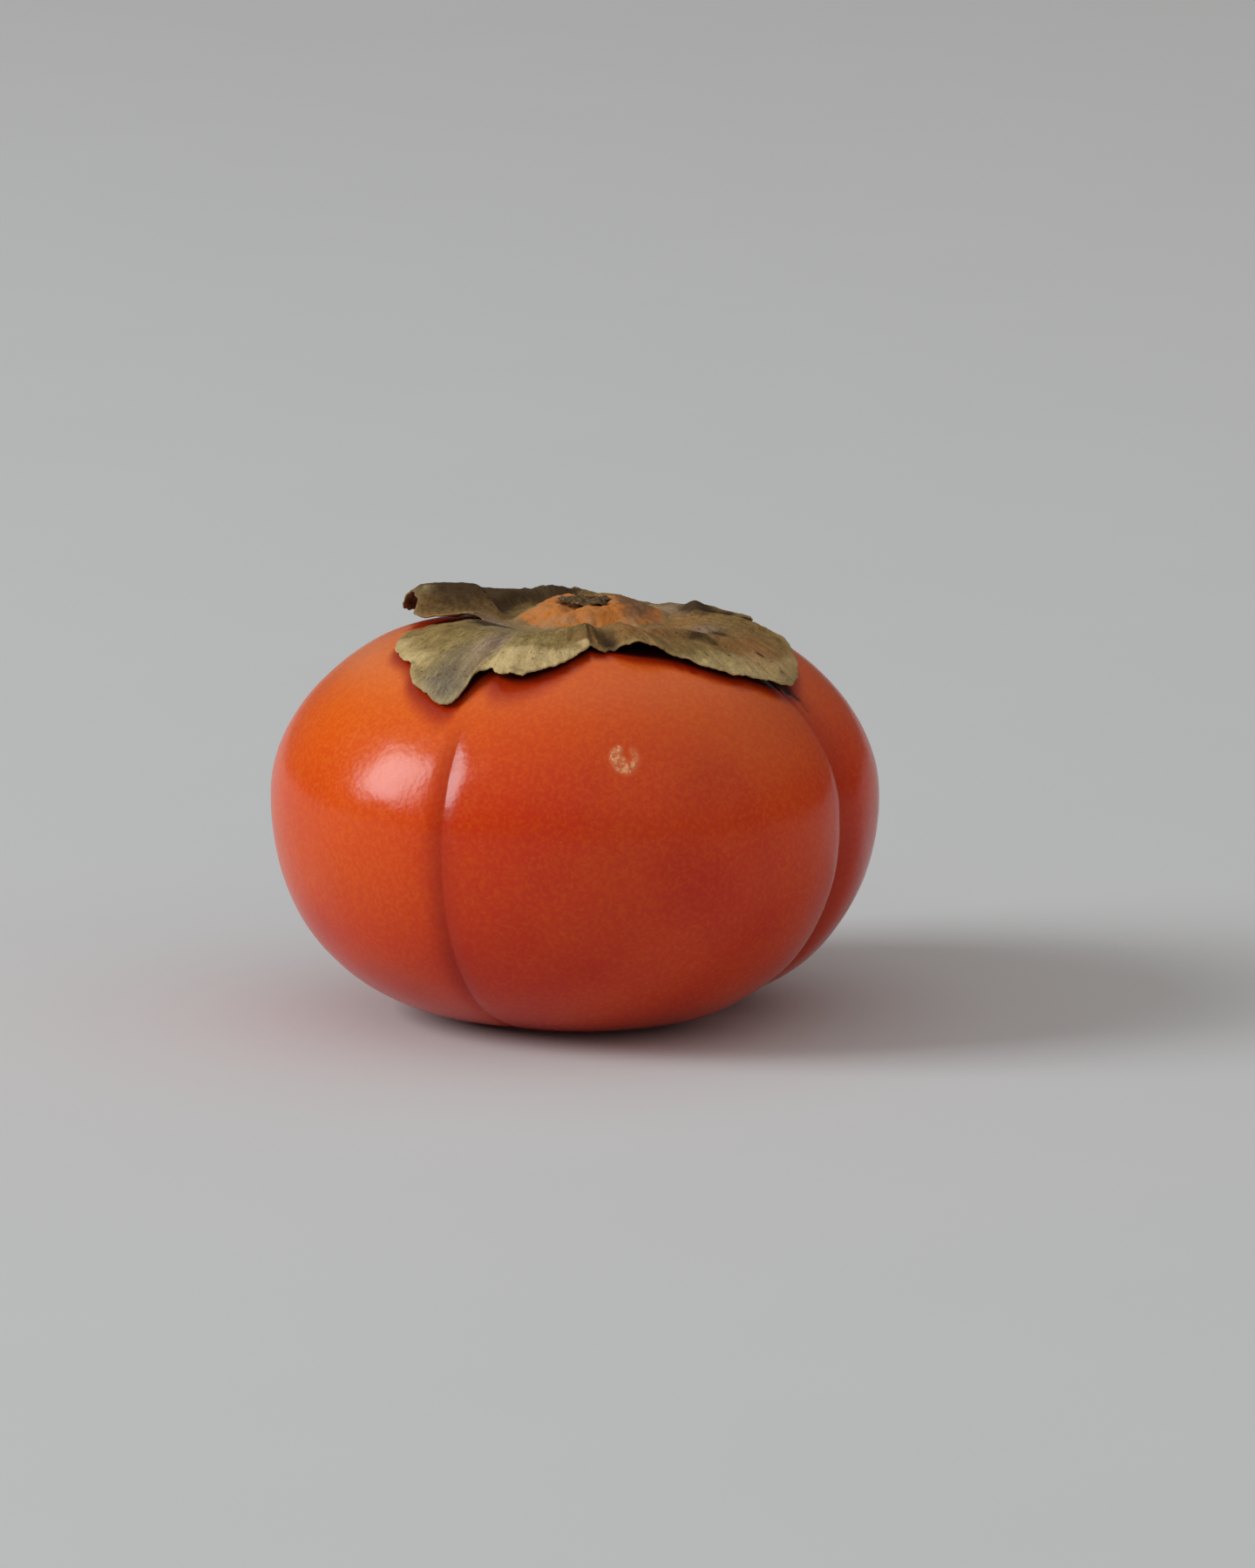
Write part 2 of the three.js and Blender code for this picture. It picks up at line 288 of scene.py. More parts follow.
class Recipe:
    """One material's node tree, written as expressions."""

    def __init__(self, owner: bpy.types.Material | bpy.types.World, shader: str) -> None:
        """Takes a material or a world and its main shader's name."""
        self.owner = owner
        self.owner.use_nodes = True
        self.tree = self.owner.node_tree
        self.shader = self.tree.nodes[shader]

    @classmethod
    def surface(cls, name: str) -> "Recipe":
        """An empty material."""
        return cls(bpy.data.materials.new(name), "Principled BSDF")

    def node(
        self,
        kind: str,
        settings: dict[str, object] | None = None,
        inputs: dict[str | int, object] | None = None,
        output: str | int = 0,
    ) -> Wire:
        """Adds a node.

        Args:
            kind: its type.
            settings: its settings, which are set first.
            inputs: the value or the wire of each socket, by name or number.
            output: the name or number of the socket that is wanted.

        Returns:
            That socket, wrapped.
        """
        made = self.tree.nodes.new(kind)
        for key, value in (settings or {}).items():
            setattr(made, key, value)
        for key, value in (inputs or {}).items():
            self.feed(made.inputs[key], value)
        return Wire(self, made.outputs[output])

    def feed(self, socket: bpy.types.NodeSocket, value: object) -> None:
        """Links a wire to a socket, or sets a plain value on it.

        Args:
            socket: the input.
            value: a wire, a number, a vector or a colour.
        """
        if isinstance(value, Wire):
            self.tree.links.new(value.socket, socket)
        elif socket.type == "RGBA":
            socket.default_value = (*value, 1.0)
        else:
            socket.default_value = value

    def maths(self, operation: str, first: "Wire | float", second: "Wire | float") -> Wire:
        """One Math node."""
        return self.node("ShaderNodeMath", {"operation": operation}, {0: first, 1: second})

    def between(self, value: Wire, low: float, high: float) -> Wire:
        """0 where a value is below low, 1 where it is above high, and smooth between."""
        inputs = {"Value": value, "From Min": low, "From Max": high}
        return self.node("ShaderNodeMapRange", {"interpolation_type": "SMOOTHSTEP"}, inputs)

    def mix(self, share: "Wire | float", first: "Wire | Colour", second: "Wire | Colour") -> Wire:
        """Mixes two colours."""
        return self.node("ShaderNodeMix", {"data_type": "RGBA"}, {0: share, 6: first, 7: second}, 2)

    def tinted(self, colour: "Wire | Colour", tint: "Wire | Colour", share: "Wire | float") -> Wire:
        """Multiplies a colour by a tint, as far as the share says."""
        settings = {"data_type": "RGBA", "blend_type": "MULTIPLY"}
        return self.node("ShaderNodeMix", settings, {0: share, 6: colour, 7: tint}, 2)

    def place(self) -> Wire:
        """The point on the object, in metres."""
        return self.node("ShaderNodeTexCoord", output="Object")

    def stretched(self, place: Wire, factors: Colour) -> Wire:
        """Scales the point on the object along each axis."""
        return self.node("ShaderNodeVectorMath", {"operation": "MULTIPLY"}, {0: place, 1: factors})

    def rayed(self, place: Wire, length: float) -> Wire:
        """The point on the object, drawn out along the rays from the stalk.

        Args:
            place: the point on the object.
            length: how many times longer than wide the marks on it become.

        Returns:
            The drawn-out point, in metres.
        """
        x, y = (self.node("ShaderNodeSeparateXYZ", None, {0: place}, axis) for axis in ("X", "Y"))
        radius = (x * x + y * y) ** 0.5
        usual_radius = 0.018
        angle = self.maths("ARCTAN2", x, y) * usual_radius
        return self.node("ShaderNodeCombineXYZ", None, {"X": angle, "Y": radius * (1 / length)})

    def painted(self, mask: Mask) -> Wire:
        """A mask that was painted on the mesh."""
        return self.node("ShaderNodeAttribute", {"attribute_name": mask.value}, output="Fac")

    def clouds(self, place: Wire, size: float, detail: float = 4.0, rough: float = 0.55) -> Wire:
        """Noise of 0 to 1, with humps of a size in millimetres."""
        inputs = {"Vector": place, "Scale": 1 / (size * METRES), "Detail": detail, "Roughness": rough}
        return self.node("ShaderNodeTexNoise", None, inputs)

    def cells(self, place: Wire, size: float, feature: str = "F1") -> Wire:
        """The distance within cells of a size in millimetres, from their middles or edges."""
        inputs = {"Vector": place, "Scale": 1 / (size * METRES)}
        return self.node("ShaderNodeTexVoronoi", {"feature": feature}, inputs, "Distance")

    def bump(self, height: Wire, depth: float, strength: float = 1.0, under: Wire | None = None) -> Wire:
        """A Bump node.

        Args:
            height: the relief, from 0 to 1.
            depth: how high 1 stands, in millimetres.
            strength: how much of it shows.
            under: the normal of a coarser relief below it.

        Returns:
            The normal.
        """
        inputs = {"Height": height, "Distance": depth * METRES, "Strength": strength}
        if under is not None:
            inputs["Normal"] = under
        return self.node("ShaderNodeBump", None, inputs, "Normal")

    def finish(self, **sockets: object) -> bpy.types.Material | bpy.types.World:
        """Sets the main shader's sockets.

        Args:
            sockets: each socket's value or wire, by its name with _ for a space.

        Returns:
            The finished material or world.
        """
        for name, value in sockets.items():
            self.feed(self.shader.inputs[name.replace("_", " ")], value)
        return self.owner


@dataclass(frozen=True)
class WaxySkin:
    """The fruit's skin: thin, waxy and mottled, from amber to a dark red-orange, with painted shade, a
    painted sheen and some painted light laid on its colour.
    """

    amber: Colour = (0.82, 0.150, 0.002)
    orange: Colour = (0.74, 0.050, 0.0)
    vermilion: Colour = (0.64, 0.022, 0.0)
    # Painted shade: the dark red of the grooves' creases, the shoulder's small creases, the band under the
    # calyx's edge and the lower half.
    shade_red: Colour = (0.34, 0.009, 0.0)
    # Painted shade: the near black of the skin under the calyx.
    shade: Colour = (0.030, 0.004, 0.002)
    # Painted sheen: a pale cream veil near the top, strongest on the left, for light glancing off the waxy
    # skin.
    sheen_cream: Colour = (0.92, 0.52, 0.31)
    scar: Colour = (0.86, 0.190, 0.065)
    # crust: the scab's cream flakes, as light as a colour can be, partly a painted highlight for the gloss
    # on them.
    crust: Colour = (1.0, 0.44, 0.19)
    soot: Colour = (0.030, 0.018, 0.014)
    patch_size: float = 17.0
    mottle_size: float = 0.62
    net_size: float = 0.9
    grain_size: float = 0.42
    speck_size: float = 0.50
    ripple_size: float = 2.6
    pore_size: float = 0.75

    def material(self) -> bpy.types.Material:
        """The skin's material."""
        recipe = Recipe.surface("waxy_skin")
        place = recipe.place()
        patches = recipe.between(recipe.clouds(place, self.patch_size, 2.0), 0.35, 0.68)
        mottle = recipe.between(recipe.clouds(place, self.mottle_size, 4.0, 0.7), 0.42, 0.62)
        threads = 1 - recipe.between(recipe.cells(place, self.net_size, "DISTANCE_TO_EDGE"), 0.02, 0.22)
        grain = recipe.clouds(place, self.grain_size, 2.0, 0.7)
        shade_red = recipe.painted(Mask.PAINTED_SHADE)
        scab = recipe.painted(Mask.SCAB)
        colour = recipe.mix(patches, self.vermilion, self.orange)
        # Amber: partly the skin's own tone, partly painted light on the top and the left side.
        colour = recipe.mix(recipe.painted(Mask.AMBER_AND_LIGHT), colour, self.amber)
        colour = recipe.mix((1 - mottle) * 0.28, colour, self.vermilion)
        colour = recipe.mix(mottle * (0.12 + threads * 0.13), colour, self.amber)
        # Painted sheen near the top.
        colour = recipe.mix(recipe.painted(Mask.BLOOM) * (0.6 + grain * 0.4), colour, self.sheen_cream)
        # Painted shade, dark red.
        colour = recipe.mix(shade_red * 0.92, colour, self.shade_red)
        # Painted shade: the skin under the calyx goes near black.
        colour = recipe.mix(recipe.painted(Mask.HIDDEN) * 0.9, colour, self.shade)
        specks = recipe.between(recipe.clouds(place, self.speck_size, 3.0, 0.6), 0.39, 0.62)
        flakes = specks * recipe.between(scab + grain * 0.5, 0.55, 0.90)
        colour = recipe.mix(recipe.between(scab, 0.05, 0.6) * 0.7, colour, self.scar)
        # The scab's flakes, partly painted highlight.
        colour = recipe.mix(flakes * 0.85, colour, self.crust)
        sooty = recipe.between(recipe.painted(Mask.CRACK) + grain * 0.6, 0.55, 1.15)
        colour = recipe.mix(sooty * 0.92, colour, self.soot)
        relief = recipe.bump(recipe.clouds(place, self.ripple_size, 2.0), 0.06, 0.6)
        relief = recipe.bump(recipe.cells(place, self.pore_size), 0.02, 0.6, relief)
        relief = recipe.bump(grain, 0.012, 0.5, relief)
        relief = recipe.bump(flakes, 0.10, 1.0, relief)
        return recipe.finish(
            Base_Color=colour,
            Roughness=0.21 + mottle * 0.05 + sooty * 0.4,
            IOR=1.38,
            Subsurface_Weight=0.08,
            Subsurface_Radius=(1.0, 0.28, 0.05),
            Subsurface_Scale=0.0014,
            Normal=relief,
        )


@dataclass(frozen=True)
class DrySepal:
    """The calyx: papery dried leaf, from straw and khaki to grey and dark brown, with fibres."""

    khaki: Colour = (0.390, 0.275, 0.098)
    olive: Colour = (0.250, 0.168, 0.056)
    straw: Colour = (0.66, 0.485, 0.225)
    grey: Colour = (0.225, 0.182, 0.128)
    umber: Colour = (0.235, 0.108, 0.030)
    brown: Colour = (0.052, 0.027, 0.010)
    lilac: Colour = (0.40, 0.280, 0.215)
    ember: Colour = (0.40, 0.150, 0.045)
    fibre_tint: Colour = (0.60, 0.52, 0.42)
    vein_tint: Colour = (0.66, 0.60, 0.50)
    blotch_size: float = 3.4
    speck_size: float = 0.7
    fibre_width: float = 0.42
    fibre_length: float = 5.0
    grain_size: float = 0.9
    net_size: float = 0.6

    def material(self) -> bpy.types.Material:
        """The dry sepals' material."""
        recipe = Recipe.surface("dry_sepal")
        place = recipe.place()
        blotch = recipe.between(recipe.clouds(place, self.blotch_size, 4.0, 0.6), 0.36, 0.66)
        grain = recipe.clouds(place, self.grain_size, 5.0, 0.68)
        fibres = recipe.clouds(recipe.rayed(place, self.fibre_length), self.fibre_width, 3.0, 0.6)
        net = recipe.cells(place, self.net_size, "DISTANCE_TO_EDGE")
        veins = 1 - recipe.between(net, 0.01, 0.12)
        colour = recipe.mix(blotch, self.olive, self.khaki)
        colour = recipe.mix(recipe.painted(Mask.UMBER) * (0.7 + blotch * 0.3), colour, self.umber)
        colour = recipe.mix(recipe.painted(Mask.GREY) * 0.9, colour, self.grey)
        colour = recipe.mix(recipe.painted(Mask.LILAC) * 0.85, colour, self.lilac)
        pale = recipe.painted(Mask.PALE) + grain * 0.6 - 0.3
        colour = recipe.mix(recipe.between(pale, 0.15, 0.85) * 0.9, colour, self.straw)
        colour = recipe.mix(recipe.painted(Mask.EMBER) * 0.8, colour, self.ember)
        light_fibres = recipe.between(fibres, 0.52, 0.72)
        colour = recipe.mix(light_fibres * (0.34 - recipe.painted(Mask.UMBER) * 0.24), colour, self.straw)
        uneven = recipe.painted(Mask.BROWN) + grain * 0.6 - 0.3
        colour = recipe.mix(recipe.between(uneven, 0.2, 0.75) * 0.92, colour, self.brown)
        dark_fibres = 1 - recipe.between(fibres, 0.30, 0.46)
        colour = recipe.tinted(colour, self.fibre_tint, dark_fibres * 0.6)
        colour = recipe.tinted(colour, self.vein_tint, veins * 0.4)
        specks = 1 - recipe.between(recipe.clouds(place, self.speck_size, 1.0), 0.28, 0.36)
        colour = recipe.mix(specks * 0.5, colour, self.brown)
        rim = recipe.painted(Mask.RIM) * (0.3 - recipe.painted(Mask.UMBER) * 0.2)
        colour = recipe.mix(rim, colour, self.straw)
        relief = recipe.bump(fibres, 0.16, 0.8)
        relief = recipe.bump(grain, 0.26, 0.8, relief)
        relief = recipe.bump(net, 0.08, 0.5, relief)
        return recipe.finish(
            Base_Color=colour,
            Roughness=0.62 + grain * 0.2,
            Specular_IOR_Level=0.15,
            Normal=relief,
        )


@dataclass(frozen=True)
class DryReceptacle:
    """The boss in the calyx's middle: orange tissue that dries to tan and brown."""

    orange: Colour = (0.58, 0.178, 0.018)
    tan: Colour = (0.44, 0.215, 0.085)
    brown: Colour = (0.170, 0.080, 0.032)
    khaki: Colour = (0.330, 0.205, 0.080)
    olive: Colour = (0.215, 0.130, 0.048)
    fibre_tint: Colour = (0.72, 0.66, 0.58)
    blotch_size: float = 2.8
    fibre_size: float = 0.8

    def material(self) -> bpy.types.Material:
        """The receptacle's material."""
        recipe = Recipe.surface("dry_receptacle")
        place = recipe.place()
        blotch = recipe.between(recipe.clouds(place, self.blotch_size, 4.0, 0.6), 0.36, 0.64)
        fibres = recipe.clouds(place, self.fibre_size, 5.0, 0.65)
        colour = recipe.mix(blotch, self.orange, self.tan)
        colour = recipe.mix(recipe.painted(Mask.EMBER) * 0.75, colour, self.orange)
        uneven = recipe.between(recipe.painted(Mask.BROWN) + fibres * 0.5 - 0.25, 0.25, 0.8)
        colour = recipe.mix(uneven * 0.85, colour, self.brown)
        skirt = recipe.between(recipe.painted(Mask.RIM) + fibres * 0.8 - 0.4, 0.25, 0.75)
        colour = recipe.mix(skirt, colour, recipe.mix(blotch, self.olive, self.khaki))
        colour = recipe.tinted(colour, self.fibre_tint, recipe.between(fibres, 0.5, 0.75) * 0.5)
        relief = recipe.bump(fibres, 0.32, 0.8)
        return recipe.finish(
            Base_Color=colour,
            Roughness=0.58 + fibres * 0.2,
            Specular_IOR_Level=0.4,
            Normal=relief,
        )


@dataclass(frozen=True)
class WeatheredWood:
    """The cut stalk and the dried style: dark woody tissue with lighter fibres and dark pores."""

    name: str
    dark: Colour
    light: Colour
    grain_size: float = 0.5

    def material(self) -> bpy.types.Material:
        """The woody material."""
        recipe = Recipe.surface(self.name)
        place = recipe.place()
        fibres = recipe.clouds(recipe.stretched(place, (1.0, 1.0, 0.4)), self.grain_size, 5.0, 0.7)
        pores = 1 - recipe.between(recipe.cells(place, self.grain_size * 0.9), 0.05, 0.3)
        colour = recipe.mix(recipe.between(fibres, 0.38, 0.66), self.dark, self.light)
        colour = recipe.mix(pores * 0.6, colour, self.dark)
        relief = recipe.bump(fibres - pores * 0.5, 0.25, 0.9)
        return recipe.finish(Base_Color=colour, Roughness=0.8, Specular_IOR_Level=0.3, Normal=relief)


@dataclass(frozen=True)
class Groove:
    """A groove between two lobes: a wide valley with a narrow crease along its middle."""

    azimuth: float
    valley: float
    valley_spread: float
    crease: float
    crease_spread: float
    top_fade: float


@dataclass(frozen=True)
class Patch:
    """A soft-edged spot on the crown, where a mask is painted or the surface is pressed in."""

    azimuth: float
    radius: float
    across: float
    out: float
    strength: float

    def share(self, azimuths: np.ndarray, radii: np.ndarray) -> np.ndarray:
        """How much of the patch lies at some points.

        Args:
            azimuths: the points' azimuths in degrees.
            radii: their distances from the stalk in millimetres.

        Returns:
            Values from 0 to the patch's strength.
        """
        turn = np.radians(turn_between(azimuths, self.azimuth))
        sideways = radii * np.sin(turn)
        onward = radii * np.cos(turn) - self.radius
        return self.strength * bell(sideways, self.across) * bell(onward, self.out)


def painted(patches: Sequence[Patch], azimuths: np.ndarray, radii: np.ndarray) -> np.ndarray:
    """Several patches laid over each other.

    Args:
        patches: the patches.
        azimuths: some points' azimuths in degrees.
        radii: their distances from the stalk in millimetres.

    Returns:
        Values from 0 to 1.
    """
    bare = np.ones_like(radii)
    for patch in patches:
        bare = bare * (1 - np.clip(patch.share(azimuths, radii), 0, 1))
    return 1 - bare


@dataclass(frozen=True)
class Fold:
    """A ridge, or a furrow where its height is negative, along a line on the crown."""

    start: tuple[float, float]
    end: tuple[float, float]
    height: float
    width: float

    def rise(self, azimuths: np.ndarray, radii: np.ndarray) -> np.ndarray:
        """How far the fold lifts some points.

        Args:
            azimuths: the points' azimuths in degrees.
            radii: their distances from the stalk in millimetres.

        Returns:
            The lift in millimetres.
        """
        points = outward(azimuths)[..., :2] * radii[..., None]
        a, b = (outward(np.array(az))[:2] * radius for az, radius in (self.start, self.end))
        along = np.clip(((points - a) @ (b - a)) / ((b - a) @ (b - a)), 0.0, 1.0)
        nearest = a + along[..., None] * (b - a)
        gap = np.linalg.norm(points - nearest, axis=-1)
        return self.height * bell(gap, self.width)


def highest(folds: Sequence[Fold], azimuths: np.ndarray, radii: np.ndarray) -> np.ndarray:
    """The rise of whichever fold is the highest at each point."""
    return np.max([fold.rise(azimuths, radii) for fold in folds], axis=0)


@dataclass(frozen=True)
class Crown:
    """The fruit's form as formulas: a squat body with four lobes and a basin for the calyx."""

    radius: float = 40.0
    equator_height: float = 29.0
    crown_rise: float = 26.6
    basin_depth: float = 6.0
    basin_radius: float = 13.8
    foot_radius: float = 11.0
    dimple_radius: float = 3.8
    dimple_depth: float = 2.2
    belly_power: float = 0.91
    crease_fade_height: float = 7.0
    groove_start_radius: float = 6.0
    groove_full_radius: float = 20.0
    grooves: tuple[Groove, ...] = (
        Groove(-25.6, 0.4, 13.0, 0.36, 1.7, 39.0),
        Groove(69.0, 1.5, 11.0, 1.8, 3.2, 80.0),
        Groove(146.0, 1.9, 15.0, 0.9, 2.6, 47.0),
        Groove(236.0, 0.8, 11.0, 1.1, 2.8, 50.0),
    )

    def height(self, radii: np.ndarray) -> np.ndarray:
        """The ungrooved crown's form.

        Args:
            radii: some distances from the stalk.

        Returns:
            The heights there.
        """
        ellipse = np.sqrt(np.maximum(0.0, 1 - (radii / self.radius) ** 2))
        basin = self.basin_depth * np.exp(-((radii / self.basin_radius) ** 2))
        return self.equator_height + self.crown_rise * ellipse - basin

    def outline(self, stops: np.ndarray) -> np.ndarray:
        """The skin's outline, turned round the stalk.

        Args:
            stops: 0 at the crown's middle, 1 at the equator, 2 at the foot's rim, 3 in the dimple.

        Returns:
            The distance from the axis and the height, on the last axis.
        """
        crown_radii = self.radius * np.sin(np.clip(stops, 0, 1) * math.pi / 2)
        turn = np.clip(stops - 1, 0, 1) * math.pi / 2
        reach = self.radius - self.foot_radius
        belly_radii = self.foot_radius + reach * np.maximum(np.cos(turn), 0) ** self.belly_power
        belly_heights = self.equator_height * (1 - np.sin(turn) ** self.belly_power)
        foot_radii = self.foot_radius * (3 - np.clip(stops, 2, 3))
        inside = np.minimum(foot_radii / self.dimple_radius, 1.0)
        foot_heights = self.dimple_depth * np.cos(inside * math.pi / 2) ** 2
        on_crown, on_belly = stops <= 1, (stops > 1) & (stops <= 2)
        radii = np.select([on_crown, on_belly], [crown_radii, belly_radii], foot_radii)
        heights = np.select([on_crown, on_belly], [self.height(crown_radii), belly_heights], foot_heights)
        return np.stack([radii, heights], axis=-1)

    def outline_normals(self, stops: np.ndarray) -> np.ndarray:
        """The outline's outward normals, from points just before and after each stop.

        Args:
            stops: where the points are along the outline.

        Returns:
            The normals' outward and upward parts on the last axis.
        """
        step = 1e-3
        along = self.outline(np.minimum(stops + step, 3)) - self.outline(np.maximum(stops - step, 0))
        normals = np.stack([-along[..., 1], along[..., 0]], axis=-1)
        return normals / np.linalg.norm(normals, axis=-1, keepdims=True)

    def valley_depths(self, azimuths: np.ndarray) -> np.ndarray:
        """How far the wide valleys press in the skin at some azimuths."""
        depths = [g.valley * bell(turn_between(azimuths, g.azimuth), g.valley_spread) for g in self.grooves]
        return np.sum(depths, axis=0)

    def crease_depths(self, heights: np.ndarray, azimuths: np.ndarray) -> np.ndarray:
        """How far the narrow creases press in the skin.

        Args:
            heights: some points' heights.
            azimuths: their azimuths.

        Returns:
            One depth a point.
        """
        depths = np.zeros_like(heights)
        for g in self.grooves:
            share = 1 - ease(heights, g.top_fade, g.top_fade + self.crease_fade_height)
            turn = turn_between(azimuths, g.azimuth)
            sharp = np.exp(-np.abs(turn) / (0.5 * g.crease_spread))
            depths = depths + g.crease * share * (0.6 * bell(turn, g.crease_spread) + 0.4 * sharp)
        return depths

    def crown_share(self, radii: np.ndarray) -> np.ndarray:
        """How far the grooves have grown at some distances from the stalk."""
        return ease(radii, self.groove_start_radius, self.groove_full_radius)

    def skin(
        self, stops: np.ndarray, azimuths: np.ndarray, pressed: np.ndarray | float = 0.0
    ) -> np.ndarray:
        """Points of the grooved skin.

        Args:
            stops: where the points are along the outline.
            azimuths: their azimuths.
            pressed: how far else each point is pressed in along the outline's normal.

        Returns:
            The points on the last axis.
        """
        base = self.outline(stops)
        normals = self.outline_normals(stops)
        radii, heights = base[..., 0], base[..., 1]
        belly_share = ease(radii, self.foot_radius, (self.foot_radius + self.radius) / 2)
        share = np.where(stops <= 1, self.crown_share(radii), belly_share) * (stops <= 2)
        grooves = self.valley_depths(azimuths) + self.crease_depths(heights, azimuths)
        depths = share * grooves + pressed
        points = outward(azimuths) * (radii - depths * normals[..., 0])[..., None]
        points[..., 2] = heights - depths * normals[..., 1]
        return points

    def over(self, azimuths: np.ndarray, radii: np.ndarray, lifts: np.ndarray, sink: float) -> np.ndarray:
        """Points that stand off the crown.

        Args:
            azimuths: their azimuths.
            radii: the distances from the stalk of the crown's points below them.
            lifts: how far they stand off along the crown's normal.
            sink: the share of the valleys' depth that they follow.

        Returns:
            The points on the last axis.
        """
        step = 0.01
        slopes = (self.height(radii + step) - self.height(np.maximum(radii - step, 0))) / (2 * step)
        steepness = np.sqrt(1 + slopes**2)
        rises = lifts - sink * self.crown_share(radii) * self.valley_depths(azimuths)
        points = outward(azimuths) * (radii - rises * slopes / steepness)[..., None]
        points[..., 2] = self.height(radii) + rises / steepness
        return points


class Finish(Protocol):
    """Anything that makes a material."""

    def material(self) -> bpy.types.Material:
        """The finished material."""


class Part(ABC):
    """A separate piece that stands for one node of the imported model."""

    node: ClassVar[str]
    slot: ClassVar[str]
    finish: ClassVar[Finish]

    @abstractmethod
    def surface(self) -> Surface:
        """Forms the piece."""

    def dress(self, surface: Surface, shift: np.ndarray) -> bpy.types.Object:
        """Makes the piece, gives it its finish and puts it in its node's place.

        Args:
            surface: its formed surface.
            shift: how far it is moved with the fruit, in millimetres.

        Returns:
            The piece, linked to the scene.
        """
        name = f"persimmon_{self.node}"
        piece = bpy.data.objects.new(name, surface.mesh(name, shift))
        bpy.context.scene.collection.objects.link(piece)
        piece.data.materials.append(self.finish.material())
        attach(piece, "root")
        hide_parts(self.node)
        return piece


@dataclass(frozen=True)
class Scab:
    """A healed scab: a broken ring of crust, open at its top and thinner on its right."""

    azimuth: float = 10.4
    radius: float = 36.2
    lean: float = 1.7
    ring_radius: float = 1.35
    ring_width: float = 0.5
    depth: float = 0.12
    crust: Noise = Noise(1.6, 0.75, 2, 2.0)

    def share(self, azimuths: np.ndarray, radii: np.ndarray) -> np.ndarray:
        """How much of the scab lies at some points, from 0 to 1.

        Args:
            azimuths: the points' azimuths in degrees.
            radii: their distances from the stalk in millimetres.

        Returns:
            One value a point.
        """
        sideways = radii * np.radians(turn_between(azimuths, self.azimuth))
        onward = (radii - self.radius) * self.lean
        ring = bell(np.hypot(sideways, onward) - self.ring_radius, self.ring_width)
        thinner_right = 1 - 0.42 * ease(sideways, 0.2, 1.2)
        open_top = 1 - bell(sideways - 0.25, 0.42) * (1 - ease(onward, -0.2, 0.6))
        cluster = 0.85 * bell(np.hypot(sideways + 0.55, onward - 0.35), 0.55)
        return np.maximum(ring * open_top * thinner_right, cluster)

    def lift(self, share: np.ndarray, points: np.ndarray) -> np.ndarray:
        """How far the ragged crust stands off the skin at some points."""
        return self.depth * share * np.clip(self.crust.at(points) + 0.1, -0.6, 1.0)


